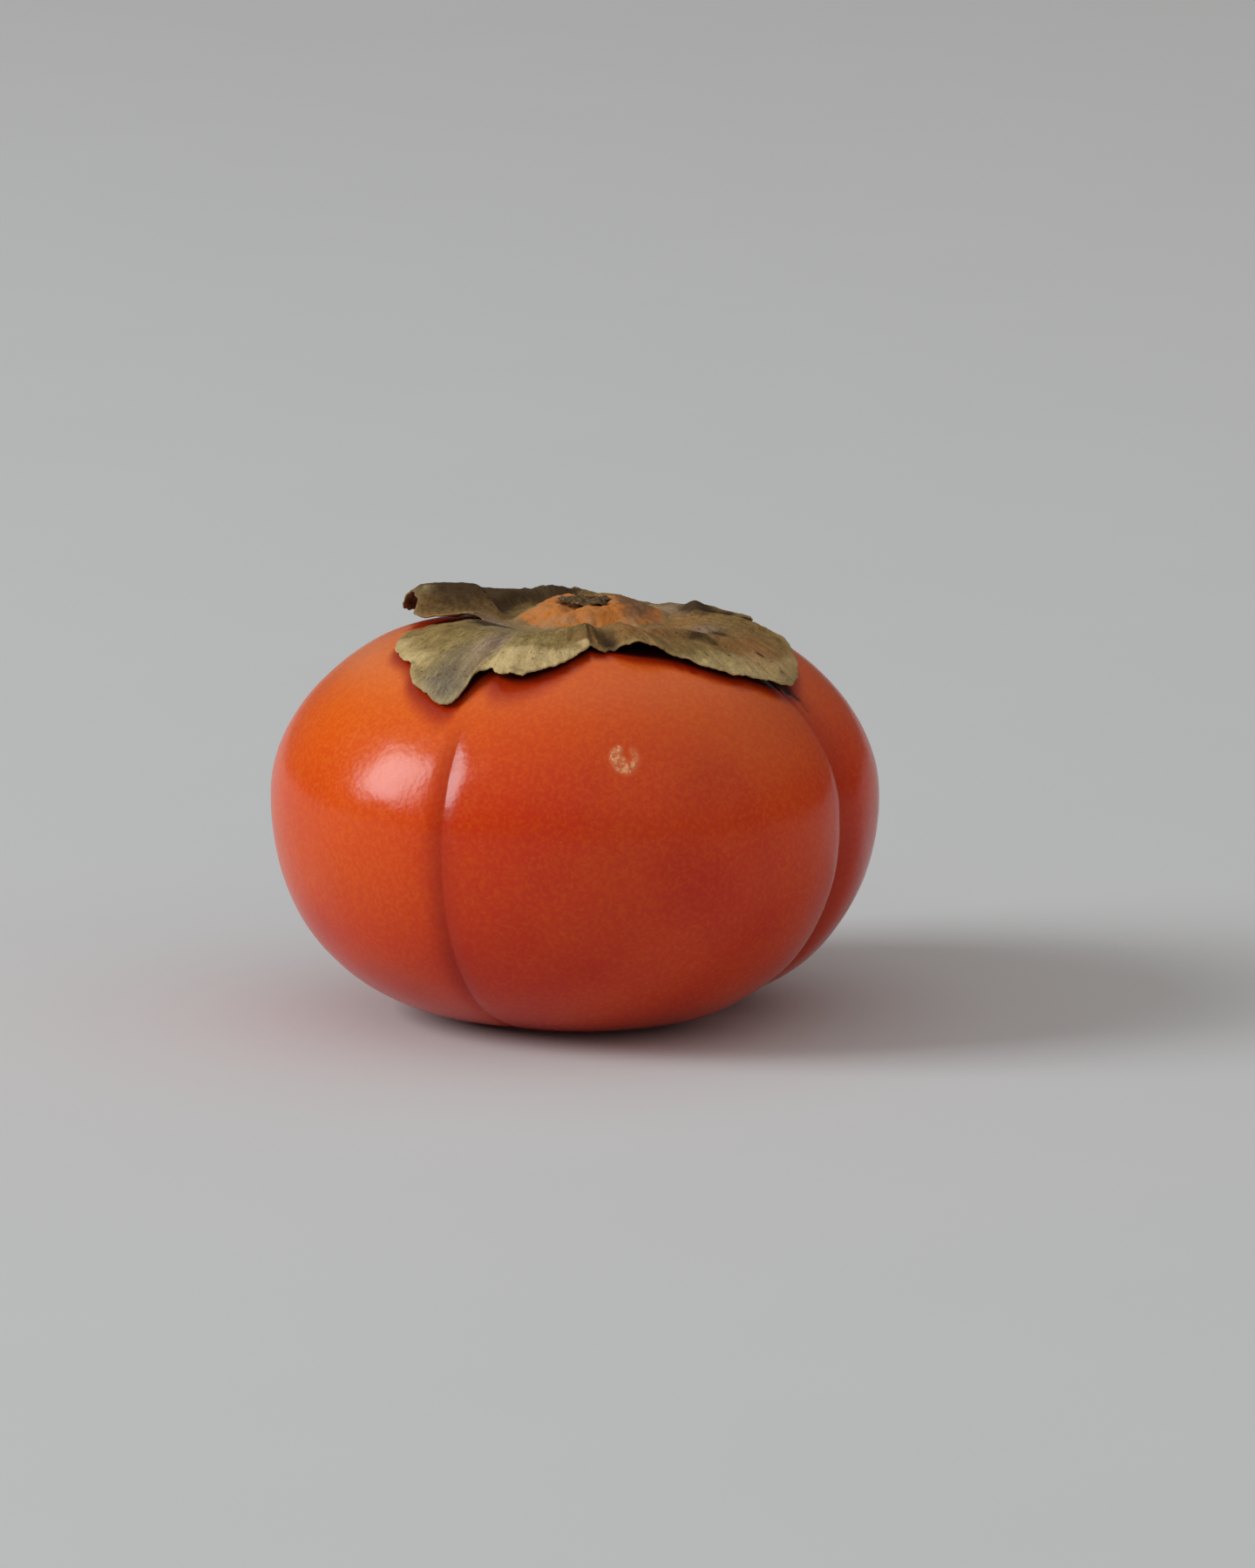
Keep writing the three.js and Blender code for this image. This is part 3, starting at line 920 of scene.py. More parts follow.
@dataclass
class Fruit(Part):
    """The fruit itself, with its grooves, a healed scab, a sooty crack, and small skin creases that are
    only painted as shade.
    """

    node = "fruit"
    slot = "skin"
    finish = WaxySkin()

    crown: Crown
    calyx_edge: np.ndarray
    columns: int = 430
    rings: int = 205
    swell: Noise = Noise(0.20, 17.0, 2)
    ripple: Noise = Noise(0.03, 3.4, 2, 1.0)
    scab: Scab = Scab()
    wide_band_side: Side = Side(-18.0, 12.0)
    lifted_sepal_side: Side = Side(-90.0, 12.0)
    lit_left_amber: Side = Side(-62.0, 26.0)
    amber_right: Side = Side(48.0, 16.0)
    painted_sheen_side: Side = Side(-95.0, 22.0)
    crack_depth: float = 0.35
    crack: tuple[Fold, ...] = (
        Fold((72.6, 27.6), (72.3, 29.4), 1.0, 0.62), Fold((72.3, 29.4), (71.7, 30.8), 1.0, 0.44),
        Fold((71.7, 30.8), (72.1, 32.2), 0.75, 0.30), Fold((72.1, 32.2), (71.4, 33.8), 0.55, 0.24),
    )
    # Small creases on the shoulder: not formed, only painted as lines of dark red shade.
    shoulder_crease_shade: tuple[Fold, ...] = (
        Fold((32.8, 23.4), (32.8, 25.4), 1.0, 0.2), Fold((35.6, 24.0), (35.6, 26.4), 1.0, 0.2),
        Fold((38.4, 24.2), (38.4, 25.6), 0.8, 0.2),
    )

    def creases(self, azimuths: np.ndarray, heights: np.ndarray) -> np.ndarray:
        """How near some points are to the grooves' creases, from 0 to 1."""
        widened, fade = 1.3, self.crown.crease_fade_height
        return sum(
            bell(turn_between(azimuths, groove.azimuth), groove.crease_spread * widened)
            * (1 - ease(heights, groove.top_fade, groove.top_fade + fade))
            for groove in self.crown.grooves
        )

    def calyx_shade(self, azimuths: np.ndarray, radii: np.ndarray) -> tuple[np.ndarray, np.ndarray]:
        """Where the calyx keeps the light off.

        Args:
            azimuths: the points' azimuths in degrees.
            radii: their distances from the stalk in millimetres.

        Returns:
            The painted red shadow band along its edge, and the painted near-black shade on the skin that it
            hides.
        """
        first = self.calyx_edge[0, 0]
        reach = np.interp((azimuths - first) % FULL_TURN + first, *self.calyx_edge.T)
        width = 2.3 + 2.6 * self.wide_band_side.share(azimuths)
        band = 1 - ease(radii, reach + 0.3, reach + width)
        covered = 1 - self.lifted_sepal_side.share(azimuths)
        hidden = covered * (1 - ease(radii, reach - 1.1, reach - 0.1))
        return band, hidden

    def amber(self, azimuths: np.ndarray, heights: np.ndarray, band: np.ndarray) -> np.ndarray:
        """The lighter, yellower skin at the top and on two sides: partly the skin's own tone, and partly
        painted light on the top and on the left side, where the window light falls.

        Args:
            azimuths: the points' azimuths in degrees.
            heights: their heights in millimetres.
            band: the painted red shadow band along the calyx's edge.

        Returns:
            One value a point.
        """
        top = 0.85 * ease(heights, 31.0, 56.0) * (1 - 0.5 * band)
        left = 0.4 * self.lit_left_amber.share(azimuths) * ease(heights, 12.0, 24.0)
        right = 0.25 * self.amber_right.share(azimuths) * bell(heights - 42.0, 7.0)
        return top + left + right

    def masks(self, stops: np.ndarray, azimuths: np.ndarray) -> dict[Mask, np.ndarray]:
        """The masks of the skin.

        Args:
            stops: where the points are along the outline.
            azimuths: their azimuths.

        Returns:
            One array of values a mask.
        """
        radii, heights = np.moveaxis(self.crown.outline(stops), -1, 0)
        on_crown = stops <= 1.0
        band, hidden = self.calyx_shade(azimuths, radii)
        # The dark red mask is painted shade: in the grooves' creases, darker towards the bottom, in the
        # small creases on the shoulder and in the band under the calyx's edge.
        low = 1 - ease(heights, 4.0, 34.0)
        shade_red = 0.5 * self.creases(azimuths, heights) * ease(heights, 2, 10) + 0.3 * low
        shade_red += (highest(self.shoulder_crease_shade, azimuths, radii) + 0.9 * band) * on_crown
        # A painted sheen in a thin band near the top, strongest on the left.
        bloom = bell(heights - 48.5, 2.2) * (0.07 + 0.20 * self.painted_sheen_side.share(azimuths))
        return {
            Mask.PAINTED_SHADE: shade_red,
            Mask.BLOOM: bloom * on_crown,
            Mask.AMBER_AND_LIGHT: self.amber(azimuths, heights, band),
            Mask.HIDDEN: hidden * on_crown,
            Mask.SCAB: self.scab.share(azimuths, radii) * on_crown,
            Mask.CRACK: highest(self.crack, azimuths, radii) * on_crown,
        }

    def grid(self) -> tuple[np.ndarray, np.ndarray]:
        """Where the rings' points lie.

        They stand closer together at the grooves, at the scab and on the shoulder, and
        further apart under the foot.

        Returns:
            Their stops along the outline and their azimuths, ring by ring.
        """
        shoulder, foot = Crowding(0.5, 0.2, 0.5), Crowding(2.6, 0.5, -0.72)
        scab_stop = math.asin(self.scab.radius / self.crown.radius) * 2 / math.pi
        around = [
            Crowding(turn_between(groove.azimuth, 0.0), groove.crease_spread * 1.5, 2.0)
            for groove in self.crown.grooves
        ]
        around.append(Crowding(self.scab.azimuth, 3.2, 3.5))
        azimuths = crowded(-FULL_TURN / 2, FULL_TURN / 2, self.columns + 1, around)[:-1]
        stops = crowded(0.0, 3.0, self.rings + 2, [Crowding(scab_stop, 0.045, 2.6), shoulder, foot])
        return tuple(np.meshgrid(stops[1:-1], azimuths, indexing="ij"))

    def surface(self) -> Surface:
        """Forms the fruit's surface.

        Returns:
            Rings from the crown's middle over the foot into the dimple.
        """
        stops, azimuths = self.grid()
        smooth = self.crown.skin(stops, azimuths)
        masks = self.masks(stops, azimuths)
        above_foot = ease(smooth[..., 2], 0.5, 9.0)
        outside_dimple = ease(self.crown.outline(stops)[..., 0], 8.0, 20.0)
        uneven = self.swell.at(smooth) + self.ripple.at(smooth)
        pressed = above_foot * outside_dimple * uneven - self.scab.lift(masks[Mask.SCAB], smooth)
        pressed += self.crack_depth * masks[Mask.CRACK]
        first, last = (self.crown.skin(np.array([stop]), np.zeros(1)) for stop in (0.0, 3.0))
        return Surface(first, self.crown.skin(stops, azimuths, pressed), last, masks)


@dataclass
class Calyx(Part):
    """The calyx as one sheet: four dried sepals, the pleats between them and the collar."""

    node = "calyx"
    slot = "dry_sepal"
    finish = DrySepal()

    crown: Crown
    sink: float = 0.7
    gap: float = 0.25
    thickness: float = 0.5
    rim_thickness: float = 0.3
    hub_radius: float = 9.0
    stops_per_span: int = 9
    rows: int = 70
    lowest_lift: float = -0.05
    root_radii: tuple[float, float] = (11.0, 16.0)
    fold_start_radii: tuple[float, float] = (11.0, 13.5)
    thin_from: float = 0.6
    flutter_from: float = 0.86
    torn_from: float = 0.955
    nibbles: Noise = Noise(0.24, 1.7, 3, 5.0)
    sway: Noise = Noise(0.25, 5.0, 2, 6.0)
    crumbs: Noise = Noise(1.0, 0.6, 2, 16.0)
    crumbling: float = 0.08
    more_crumbling: float = 0.16
    crumbling_side: Side = Side(-22.0, 9.0)
    buckles: Noise = Noise(0.28, 4.6, 3, 3.0)
    creases: Noise = Noise(0.08, 0.9, 3, 15.0)
    flutter: Noise = Noise(0.4, 3.0, 2, 7.0)
    # Both of these are laid out by azimuth and radius, and stretched by the size of one unit.
    whirls: Noise = Noise(0.18, 1.0, 3, 4.0)
    whirl_stretch: tuple[float, float] = (7.0, 5.0)
    rays: Noise = Noise(0.11, 1.0, 3, 14.0)
    ray_stretch: tuple[float, float] = (2.6, 9.0)
    # The free edge from the back round the left, the front and the right: azimuth, radius,
    # lift off the skin, and where along the radius that lift is reached, as a share.
    edge: tuple[tuple[float, float, float, float], ...] = (
        (-156, 20.5, 1.0, 1.0), (-146, 24.0, 1.5, 1.0), (-132, 25.4, 1.8, 0.9), (-121, 25.0, 1.8, 0.8),
        (-114, 23.8, 2.2, 0.7), (-107, 22.4, 3.2, 0.5), (-99, 20.8, 3.7, 0.4), (-92, 19.8, 2.6, 0.4),
        (-87, 20.6, 1.2, 0.5), (-82, 18.2, 0.9, 0.6), (-77, 14.6, 1.2, 0.8), (-73.4, 12.6, 0.4, 1.0),
        (-72.2, 14.8, 0.2, 1.0), (-71.8, 19.6, 0.4, 1.0), (-70.4, 23.4, 0.5, 1.0), (-63, 25.5, 0.4, 1.0),
        (-55, 26.3, 0.4, 1.0), (-50.6, 27.1, 0.4, 1.0), (-45.4, 29.2, 0.3, 1.0), (-39.4, 30.4, 0.3, 1.0),
        (-34.6, 31.2, 0.2, 1.0), (-31.4, 31.2, 0.2, 1.0), (-29.4, 30.3, 0.3, 1.0), (-28.6, 28.9, 0.4, 1.0),
        (-27.6, 27.3, 0.6, 1.0), (-25.8, 25.8, 0.8, 1.0), (-23.8, 25.7, 1.0, 1.0), (-21.6, 26.8, 1.0, 1.0),
        (-17.9, 27.0, 1.1, 1.0), (-13, 26.6, 1.0, 1.0), (-8.8, 25.7, 0.9, 1.0), (-3.2, 24.1, 0.7, 1.0),
        (0.8, 22.5, 0.6, 1.0), (4.9, 21.0, 0.7, 1.0), (5.8, 20.0, 0.1, 1.0), (8.0, 20.8, 0.2, 1.0),
        (10.4, 21.0, 0.1, 1.0), (12.4, 20.6, 0.2, 1.0), (14.6, 21.0, 0.5, 1.0), (18.2, 21.9, 1.2, 1.0),
        (22.0, 22.5, 1.7, 1.0), (26.2, 23.0, 1.5, 1.0), (29.9, 23.7, 1.0, 1.0), (33.6, 24.6, 0.7, 1.0),
        (37.4, 26.0, 0.5, 1.0), (41.6, 27.3, 0.4, 1.0), (46.6, 28.5, 0.4, 1.0), (50, 28.7, 0.6, 1.0),
        (54.4, 29.7, 0.5, 1.0), (59, 30.7, 0.5, 1.0), (64, 31.1, 0.6, 1.0), (69.4, 30.6, 0.8, 1.0),
        (76, 29.6, 0.9, 1.0), (82.4, 28.0, 0.9, 1.0), (87.4, 26.2, 0.8, 1.0), (92.4, 23.6, 0.6, 1.0),
        (98, 21.2, 0.3, 1.0), (105, 23.0, 0.3, 1.0), (115, 25.4, 0.3, 1.0), (129, 27.8, 0.4, 1.0),
        (143, 30.0, 0.3, 1.0), (153, 28.6, 0.5, 1.0), (163, 26.0, 0.6, 1.0), (173, 21.6, 0.5, 1.0),
        (181, 16.4, 0.9, 1.0), (186, 15.4, 1.2, 1.0), (191, 15.2, 1.5, 1.0), (196, 15.2, 1.3, 1.0),
        (200.5, 17.2, 0.9, 1.0),
    )
    folds: tuple[Fold, ...] = (
        Fold((-118, 13.0), (-101, 18.6), 0.5, 1.3), Fold((-30.6, 17.0), (-25.6, 25.6), -0.45, 0.7),
        Fold((-34, 17.0), (-31, 27.0), 0.35, 0.8), Fold((-46, 15.0), (-38, 29.0), 0.3, 1.4),
        Fold((-52, 20.0), (-56, 26.0), -0.2, 0.9), Fold((-22, 18.0), (-18, 25.6), 0.35, 1.1),
        Fold((-10, 20.0), (-7, 25.0), -0.2, 0.7), Fold((0, 14.0), (14, 14.6), 1.0, 1.5),
        Fold((3, 15.0), (4.4, 20.0), 0.4, 0.6), Fold((0, 15.0), (-1, 18.0), -0.4, 0.5),
        Fold((7, 13.0), (8, 19.4), 0.45, 0.6), Fold((10.4, 14.0), (10.6, 19.4), -0.3, 0.4),
        Fold((13.6, 14.6), (13.4, 21.0), -0.6, 0.55), Fold((22, 16.0), (27, 22.0), 0.35, 0.9),
        Fold((36, 17.0), (60, 23.0), 0.6, 1.0), Fold((47, 20.4), (58, 25.0), -0.3, 0.7),
        Fold((62, 16.5), (74, 21.0), -0.35, 0.8), Fold((62, 22.0), (64, 30.0), 0.3, 1.1),
        Fold((68, 26.0), (70, 30.0), -0.25, 0.7), Fold((94, 15.8), (112, 17.0), 0.65, 0.8),
        Fold((98, 18.0), (98, 21.0), -0.3, 0.6), Fold((80, 14.5), (84, 24.0), -0.3, 1.0),
        Fold((133, 14.0), (143, 28.0), 0.3, 1.4), Fold((-156, 13.5), (-124, 14.4), 0.7, 1.4),
        Fold((-140, 14.0), (-140, 24.0), 0.4, 1.6),
    )
    # Dark brown patches: mostly the leaf's own brown, but those behind the raised back-left sepal's ridge
    # and along the far side of the back-right one are painted shade.
    brown: tuple[Patch, ...] = (
        Patch(10, 17.0, 2.2, 3.2, 0.36), Patch(3, 15.2, 1.6, 1.4, 0.25), Patch(13.4, 19.5, 0.6, 2.2, 0.9),
        Patch(-118, 13.6, 2.6, 2.0, 1.0), Patch(-128, 15.5, 5.0, 2.8, 1.0),
        Patch(-112, 15.0, 3.0, 2.4, 0.8), Patch(-102, 19.0, 6.0, 4.0, 0.46),
        Patch(-95, 14.5, 2.4, 2.4, 0.5), Patch(-62, 13.4, 1.7, 1.3, 0.95),
        Patch(-50, 12.0, 1.8, 0.8, 0.7), Patch(103, 16.4, 3.0, 2.0, 1.0), Patch(98, 19.4, 1.1, 2.4, 0.8),
        Patch(120, 18.6, 2.4, 1.5, 0.7), Patch(50.5, 20.4, 1.5, 0.9, 0.75),
        Patch(68, 20.0, 1.6, 1.3, 0.85), Patch(53, 22.4, 0.9, 0.7, 0.6), Patch(36, 18.4, 3.0, 0.9, 0.35),
        Patch(64.8, 26.3, 0.55, 0.5, 0.9), Patch(64, 29.6, 1.1, 0.4, 0.55),
        Patch(-50.2, 26.9, 0.8, 0.3, 0.6), Patch(-15, 26.5, 2.4, 0.3, 0.5),
        Patch(194, 14.6, 3.6, 3.2, 1.0), Patch(-145, 16.5, 5.0, 2.6, 0.9),
        Patch(150, 17.0, 4.0, 3.0, 0.4),
    )
    # Pale straw patches: the leaf's own pale tissue; on the front-right sepal, at azimuths 41 to 75, they
    # also paint light from the right and above.
    pale: tuple[Patch, ...] = (
        Patch(-20, 24.6, 2.4, 1.9, 1.0), Patch(-12, 24.2, 3.4, 2.0, 0.95), Patch(-2, 22.6, 2.2, 1.4, 0.7),
        Patch(3.8, 20.4, 0.7, 0.6, 0.9), Patch(-52, 26.0, 3.0, 1.6, 0.85),
        Patch(-64, 24.6, 1.5, 1.6, 0.6), Patch(66, 29.0, 1.7, 0.8, 0.85), Patch(48, 28.2, 2.4, 0.6, 0.95),
        Patch(57, 29.6, 1.6, 0.6, 0.8), Patch(41, 26.2, 5.0, 1.6, 0.6), Patch(62, 27.4, 4.0, 2.4, 0.65),
        Patch(75, 28.8, 1.6, 1.0, 0.5), Patch(-97, 18.8, 1.2, 0.9, 0.8),
    )
    grey: tuple[Patch, ...] = (
        Patch(-34, 29.6, 3.0, 2.2, 1.0), Patch(-37, 25.4, 1.8, 3.2, 0.6), Patch(-48, 14.0, 3.0, 1.8, 0.5),
        Patch(66, 30.0, 1.3, 0.5, 0.6), Patch(130, 24.0, 6.0, 5.0, 0.5),
    )
    ember: tuple[Patch, ...] = (
        Patch(75, 14.0, 4.0, 2.0, 0.6), Patch(38, 15.6, 2.6, 1.6, 0.55), Patch(67, 25.4, 3.2, 2.6, 0.8),
        Patch(58, 23.6, 2.0, 1.4, 0.35), Patch(30, 17.6, 3.0, 1.6, 0.4),
    )
    umber: tuple[Patch, ...] = (
        Patch(-105, 18.0, 9.0, 6.0, 1.0), Patch(-135, 20.0, 9.0, 6.0, 0.9),
        Patch(50, 19.0, 7.0, 3.4, 0.75), Patch(22, 19.0, 3.0, 4.0, 0.8), Patch(8, 18.0, 3.0, 3.0, 0.9),
        Patch(80, 22.0, 5.0, 6.0, 0.35), Patch(64, 26.0, 4.0, 3.0, 0.15), Patch(115, 20.0, 9.0, 6.0, 0.6),
        Patch(150, 22.0, 8.0, 6.0, 0.7),
    )
    lilac: tuple[Patch, ...] = (
        Patch(-31, 20.5, 1.3, 3.6, 0.85), Patch(-66, 11.0, 2.4, 1.4, 0.9),
        Patch(65.9, 18.0, 2.6, 1.3, 0.9), Patch(112, 13.4, 3.0, 1.4, 0.7),
    )

    def edge_line(self) -> np.ndarray:
        """The free edge's stops: azimuth, radius, lift and the lift's place, one a row."""
        return closed_spline(np.array(self.edge, float), self.stops_per_span)

    def grid(self) -> tuple[np.ndarray, np.ndarray, np.ndarray, np.ndarray]:
        """Where the sheet's points lie.

        Returns:
            The azimuths, the radii, the lifts off the skin and the shares of the way to the
            free edge: rows from the middle outwards, columns round the stalk.
        """
        azimuths, reach, lifts, knees = self.edge_line().T
        flat = outward(azimuths) * reach[:, None]
        reach = reach + self.nibbles.at(flat) + self.sway.at(flat)
        crumbling = self.crumbling + self.more_crumbling * self.crumbling_side.share(azimuths)
        reach = reach + crumbling * self.crumbs.at(flat)
        near_edge, near_middle = Crowding(1.0, 0.06, 1.2), Crowding(0.0, 0.25, -0.6)
        shares = crowded(0.0, 1.0, self.rows + 1, [near_edge, near_middle])[1:, None]
        radii = shares * reach
        start = np.minimum(self.hub_radius, reach * 0.86)
        lifts = lifts * ease(radii, start, start + knees * (reach - start))
        return tuple(np.broadcast_arrays(azimuths, radii, lifts, shares))

    def wrinkles(self, azimuths: np.ndarray, radii: np.ndarray, shares: np.ndarray) -> np.ndarray:
        """How far the folds and the fine wrinkles lift the sheet.

        Args:
            azimuths: its points' azimuths.
            radii: their distances from the stalk.
            shares: the shares of the way to the free edge.

        Returns:
            The lift in millimetres.
        """
        flat = outward(azimuths) * radii[..., None]
        whirls, rays = (
            np.stack([azimuths / turn, radii / length, np.zeros_like(radii)], axis=-1)
            for turn, length in (self.whirl_stretch, self.ray_stretch)
        )
        free = ease(radii, *self.root_radii)
        lifts = sum(fold.rise(azimuths, radii) for fold in self.folds)
        lifts *= ease(radii, *self.fold_start_radii)
        lifts += free * (self.buckles.at(flat) + self.whirls.at(whirls))
        lifts += free * (self.rays.at(rays) + self.creases.at(flat))
        return lifts + free * ease(shares, self.flutter_from, 1.0) * np.abs(self.flutter.at(flat))

    def surface(self) -> Surface:
        """Forms the sheet with its folds, its wrinkles and its torn rim.

        Returns:
            Rings over the upper face, round the rim and back under the lower face.
        """
        azimuths, radii, lifts, shares = self.grid()
        lifts = self.gap + np.maximum(lifts + self.wrinkles(azimuths, radii, shares), self.lowest_lift)
        thinning = (self.rim_thickness - self.thickness) * ease(shares, self.thin_from, 1.0)
        thickness = self.thickness + thinning
        under, upper = (self.crown.over(azimuths, radii, lifts + t, self.sink) for t in (0, thickness))
        half_way = (lifts + thickness / 2)[-1:]
        rim = self.crown.over(azimuths[-1:], radii[-1:] + 0.1, half_way, self.sink)
        zero = np.zeros(1)
        faces_at_middle = (zero + self.gap + self.thickness, zero + self.gap)
        first, last = (self.crown.over(zero, zero, lift, 0.0) for lift in faces_at_middle)
        marks = {
            Mask.BROWN: self.brown,
            Mask.PALE: self.pale,
            Mask.GREY: self.grey,
            Mask.EMBER: self.ember,
            Mask.UMBER: self.umber,
            Mask.LILAC: self.lilac,
        }
        masks = {mask: painted(patches, azimuths, radii) for mask, patches in marks.items()}
        masks[Mask.RIM] = ease(shares, self.torn_from, 1.0) * ease(radii, *self.root_radii)
        for mask, values in masks.items():
            masks[mask] = np.concatenate([values, values[-1:], values[::-1]])
        # The whole lower face is painted dark brown: painted shade under the sepals.
        masks[Mask.BROWN][-len(radii) :] = 1.0
        return Surface(first, np.concatenate([upper, rim, under[::-1]]), last, masks)


@dataclass
class Receptacle(Part):
    """The mound in the middle of the calyx, which runs out into the sepals' roots."""

    node = "receptacle"
    slot = "receptacle"
    finish = DryReceptacle()

    crown: Crown
    calyx: Calyx
    middle_x: float = 1.3
    rim_radius: float = 12.3
    cut: float = 2.2
    cut_side: Side = Side(-90.0, 40.0)
    top_rise: float = 25.5
    shoulder_drop: float = 0.55
    shoulder_shares: tuple[float, float] = (0.25, 0.72)
    skirt_from: float = 0.52
    smooth_shares: tuple[float, float] = (0.80, 0.97)
    olive_shares: tuple[float, float] = (0.66, 0.98)
    socket_radius: float = 3.5
    socket_depth: float = 0.6
    bed_sink: float = 0.2
    floor_sink: float = 0.3
    columns: int = 220
    rows: int = 60
    notch: Patch = Patch(-22.0, 4.4, 0.8, 1.4, 0.9)
    rim_sway: Noise = Noise(1.1, 6.0, 3, 8.0)
    lumps: Noise = Noise(0.4, 3.2, 3, 9.0)
    pimples: Noise = Noise(0.16, 1.1, 3, 10.0)
    brown: tuple[Patch, ...] = (
        Patch(78, 6.6, 2.2, 1.6, 0.85), Patch(48, 8.4, 2.0, 1.4, 0.5), Patch(110, 7.0, 3.2, 2.6, 0.8),
        Patch(170, 8.5, 4.0, 3.0, 0.7), Patch(-150, 9.0, 2.4, 2.0, 0.6),
    )
    ember: tuple[Patch, ...] = (
        Patch(-60, 5.0, 2.6, 2.2, 1.0), Patch(0, 5.0, 4.0, 1.8, 1.0), Patch(40, 6.0, 2.0, 1.6, 0.7),
        Patch(70, 11.0, 2.4, 1.4, 0.8),
    )

    def top(self, bed: np.ndarray, radii: np.ndarray, shares: np.ndarray) -> np.ndarray:
        """The heights of the lumpy top, which sinks to the bed at the rim and in the socket.

        Args:
            bed: the points of the sheet's upper face below it.
            radii: their distances from the stalk.
            shares: the shares of the way to the rim.

        Returns:
            One height a point.
        """
        drop = self.shoulder_drop * ease(shares, *self.shoulder_shares)
        mound = self.crown.equator_height + self.top_rise - drop
        blend = ease(shares, self.skirt_from, 1.0)
        flat = bed * np.array([1.0, 1.0, 0.0])
        uneven = (self.lumps.at(flat) + self.pimples.at(flat)) * (1 - ease(shares, *self.smooth_shares))
        socket = 1 - ease(radii, self.socket_radius * 0.7, self.socket_radius * 1.25)
        return mound * (1 - blend) + bed[..., 2] * blend + uneven - self.socket_depth * socket

    def surface(self) -> Surface:
        """Forms the mound.

        Returns:
            Rings over the top and back under a hidden lower face.
        """
        around = np.arange(self.columns) * FULL_TURN / self.columns - FULL_TURN / 2
        rim = self.rim_radius + self.rim_sway.at(outward(around) * self.rim_radius)
        rim = rim - self.cut * self.cut_side.share(around)
        outwards = np.linspace(0, 1, self.rows + 1)[1:, None]
        azimuths, radii, shares = np.broadcast_arrays(around, outwards * rim, outwards)
        sheet_top = self.calyx.gap + self.calyx.thickness
        lifts = np.full_like(radii, sheet_top - self.bed_sink)
        bed = self.crown.over(azimuths, radii, lifts, self.calyx.sink)
        upper, under = bed.copy(), bed - np.array([0.0, 0.0, self.floor_sink])
        upper[..., 2] = self.top(bed, radii, shares) - self.notch.share(azimuths, radii)
        first = np.array([0.0, 0.0, upper[0, :, 2].mean()])
        last = np.array([0.0, 0.0, under[0, 0, 2]])
        rings = np.concatenate([upper, under[::-1]])
        middle = np.array([self.middle_x, 0.0, 0.0])
        masks = {
            Mask.BROWN: painted(self.brown, azimuths, radii),
            Mask.EMBER: painted(self.ember, azimuths, radii),
            Mask.RIM: ease(shares, *self.olive_shares),
        }
        for mask, values in masks.items():
            masks[mask] = np.concatenate([values, values[::-1]])
        return Surface(first + middle, rings + middle, last + middle, masks)


@dataclass
class StalkStub(Part):
    """The cut stalk: a rough woody crust, hollow in the middle, in the mound's socket."""

    node = "stalk_stub"
    slot = "stalk_wood"
    finish = WeatheredWood("stalk_wood", dark=(0.055, 0.028, 0.010), light=(0.22, 0.125, 0.045))

    top_height: float
    middle_x: float = 1.2
    radius: float = 3.3
    depth: float = 0.7
    hollow: float = 0.2
    broken_sink: float = 0.2
    side_power: float = 0.55
    top_power: float = 0.8
    columns: int = 96
    rows: int = 26
    ragged: Noise = Noise(0.3, 2.2, 4, 11.0)
    broken: Noise = Noise(0.4, 1.1, 4, 12.0)

    def surface(self) -> Surface:
        """Forms the crust as a closed lump with a ragged rim.

        Returns:
            Rings from the middle of its top to the middle of its foot.
        """
        azimuths = np.arange(self.columns) * FULL_TURN / self.columns
        turns = np.linspace(0, math.pi, self.rows + 2)[1:-1, None]
        radii = np.sin(turns) ** self.side_power * np.ones(self.columns)
        heights = np.sign(np.cos(turns)) * np.abs(np.cos(turns)) ** self.top_power
        reach = self.radius * (1 + self.ragged.at(outward(azimuths) * self.radius))
        points = outward(azimuths) * (radii * reach)[..., None]
        is_top = heights > 0
        dish = self.hollow * (1 - ease(radii, 0.15, 0.75))
        points[..., 2] = heights * self.depth / 2 - np.where(is_top, dish, 0.0)
        points[..., 2] += np.where(is_top, self.broken.at(points) - self.broken_sink, 0.0)
        first = np.array([0.0, 0.0, points[0, :, 2].mean()])
        last = np.array([0.0, 0.0, -self.depth / 2])
        middle = np.array([self.middle_x, 0.0, self.top_height - self.depth / 2])
        return Surface(first + middle, points + middle, last + middle)


@dataclass
class StyleTip(Part):
    """The dried style in the dimple at the blossom end: a short split point."""

    node = "style_tip"
    slot = "dry_style"
    finish = WeatheredWood("dry_style", (0.018, 0.011, 0.007), (0.07, 0.042, 0.024), grain_size=0.3)

    root_height: float
    length: float = 1.5
    radius: float = 0.85
    tip_share: float = 0.42
    taper_power: float = 1.4
    splits: int = 4
    split_depth: float = 0.16
    columns: int = 40
    rows: int = 18
    crumpled: Noise = Noise(0.07, 0.6, 2, 13.0)

    def surface(self) -> Surface:
        """Forms the point.

        Returns:
            Rings from the dimple's floor down to the tip.
        """
        azimuths = np.arange(self.columns) * FULL_TURN / self.columns
        shares = np.linspace(0, 1, self.rows)[:, None]
        splits = self.split_depth * np.cos(np.radians(azimuths) * self.splits)
        profile = self.radius * (self.tip_share + (1 - self.tip_share) * (1 - shares) ** self.taper_power)
        points = outward(azimuths) * (profile * (1 + splits * shares))[..., None]
        points = points + self.crumpled.at(points)[..., None]
        points[..., 2] = self.root_height - shares * self.length
        root = np.array([0.0, 0.0, self.root_height])
        return Surface(root, points, root - np.array([0.0, 0.0, self.length]))


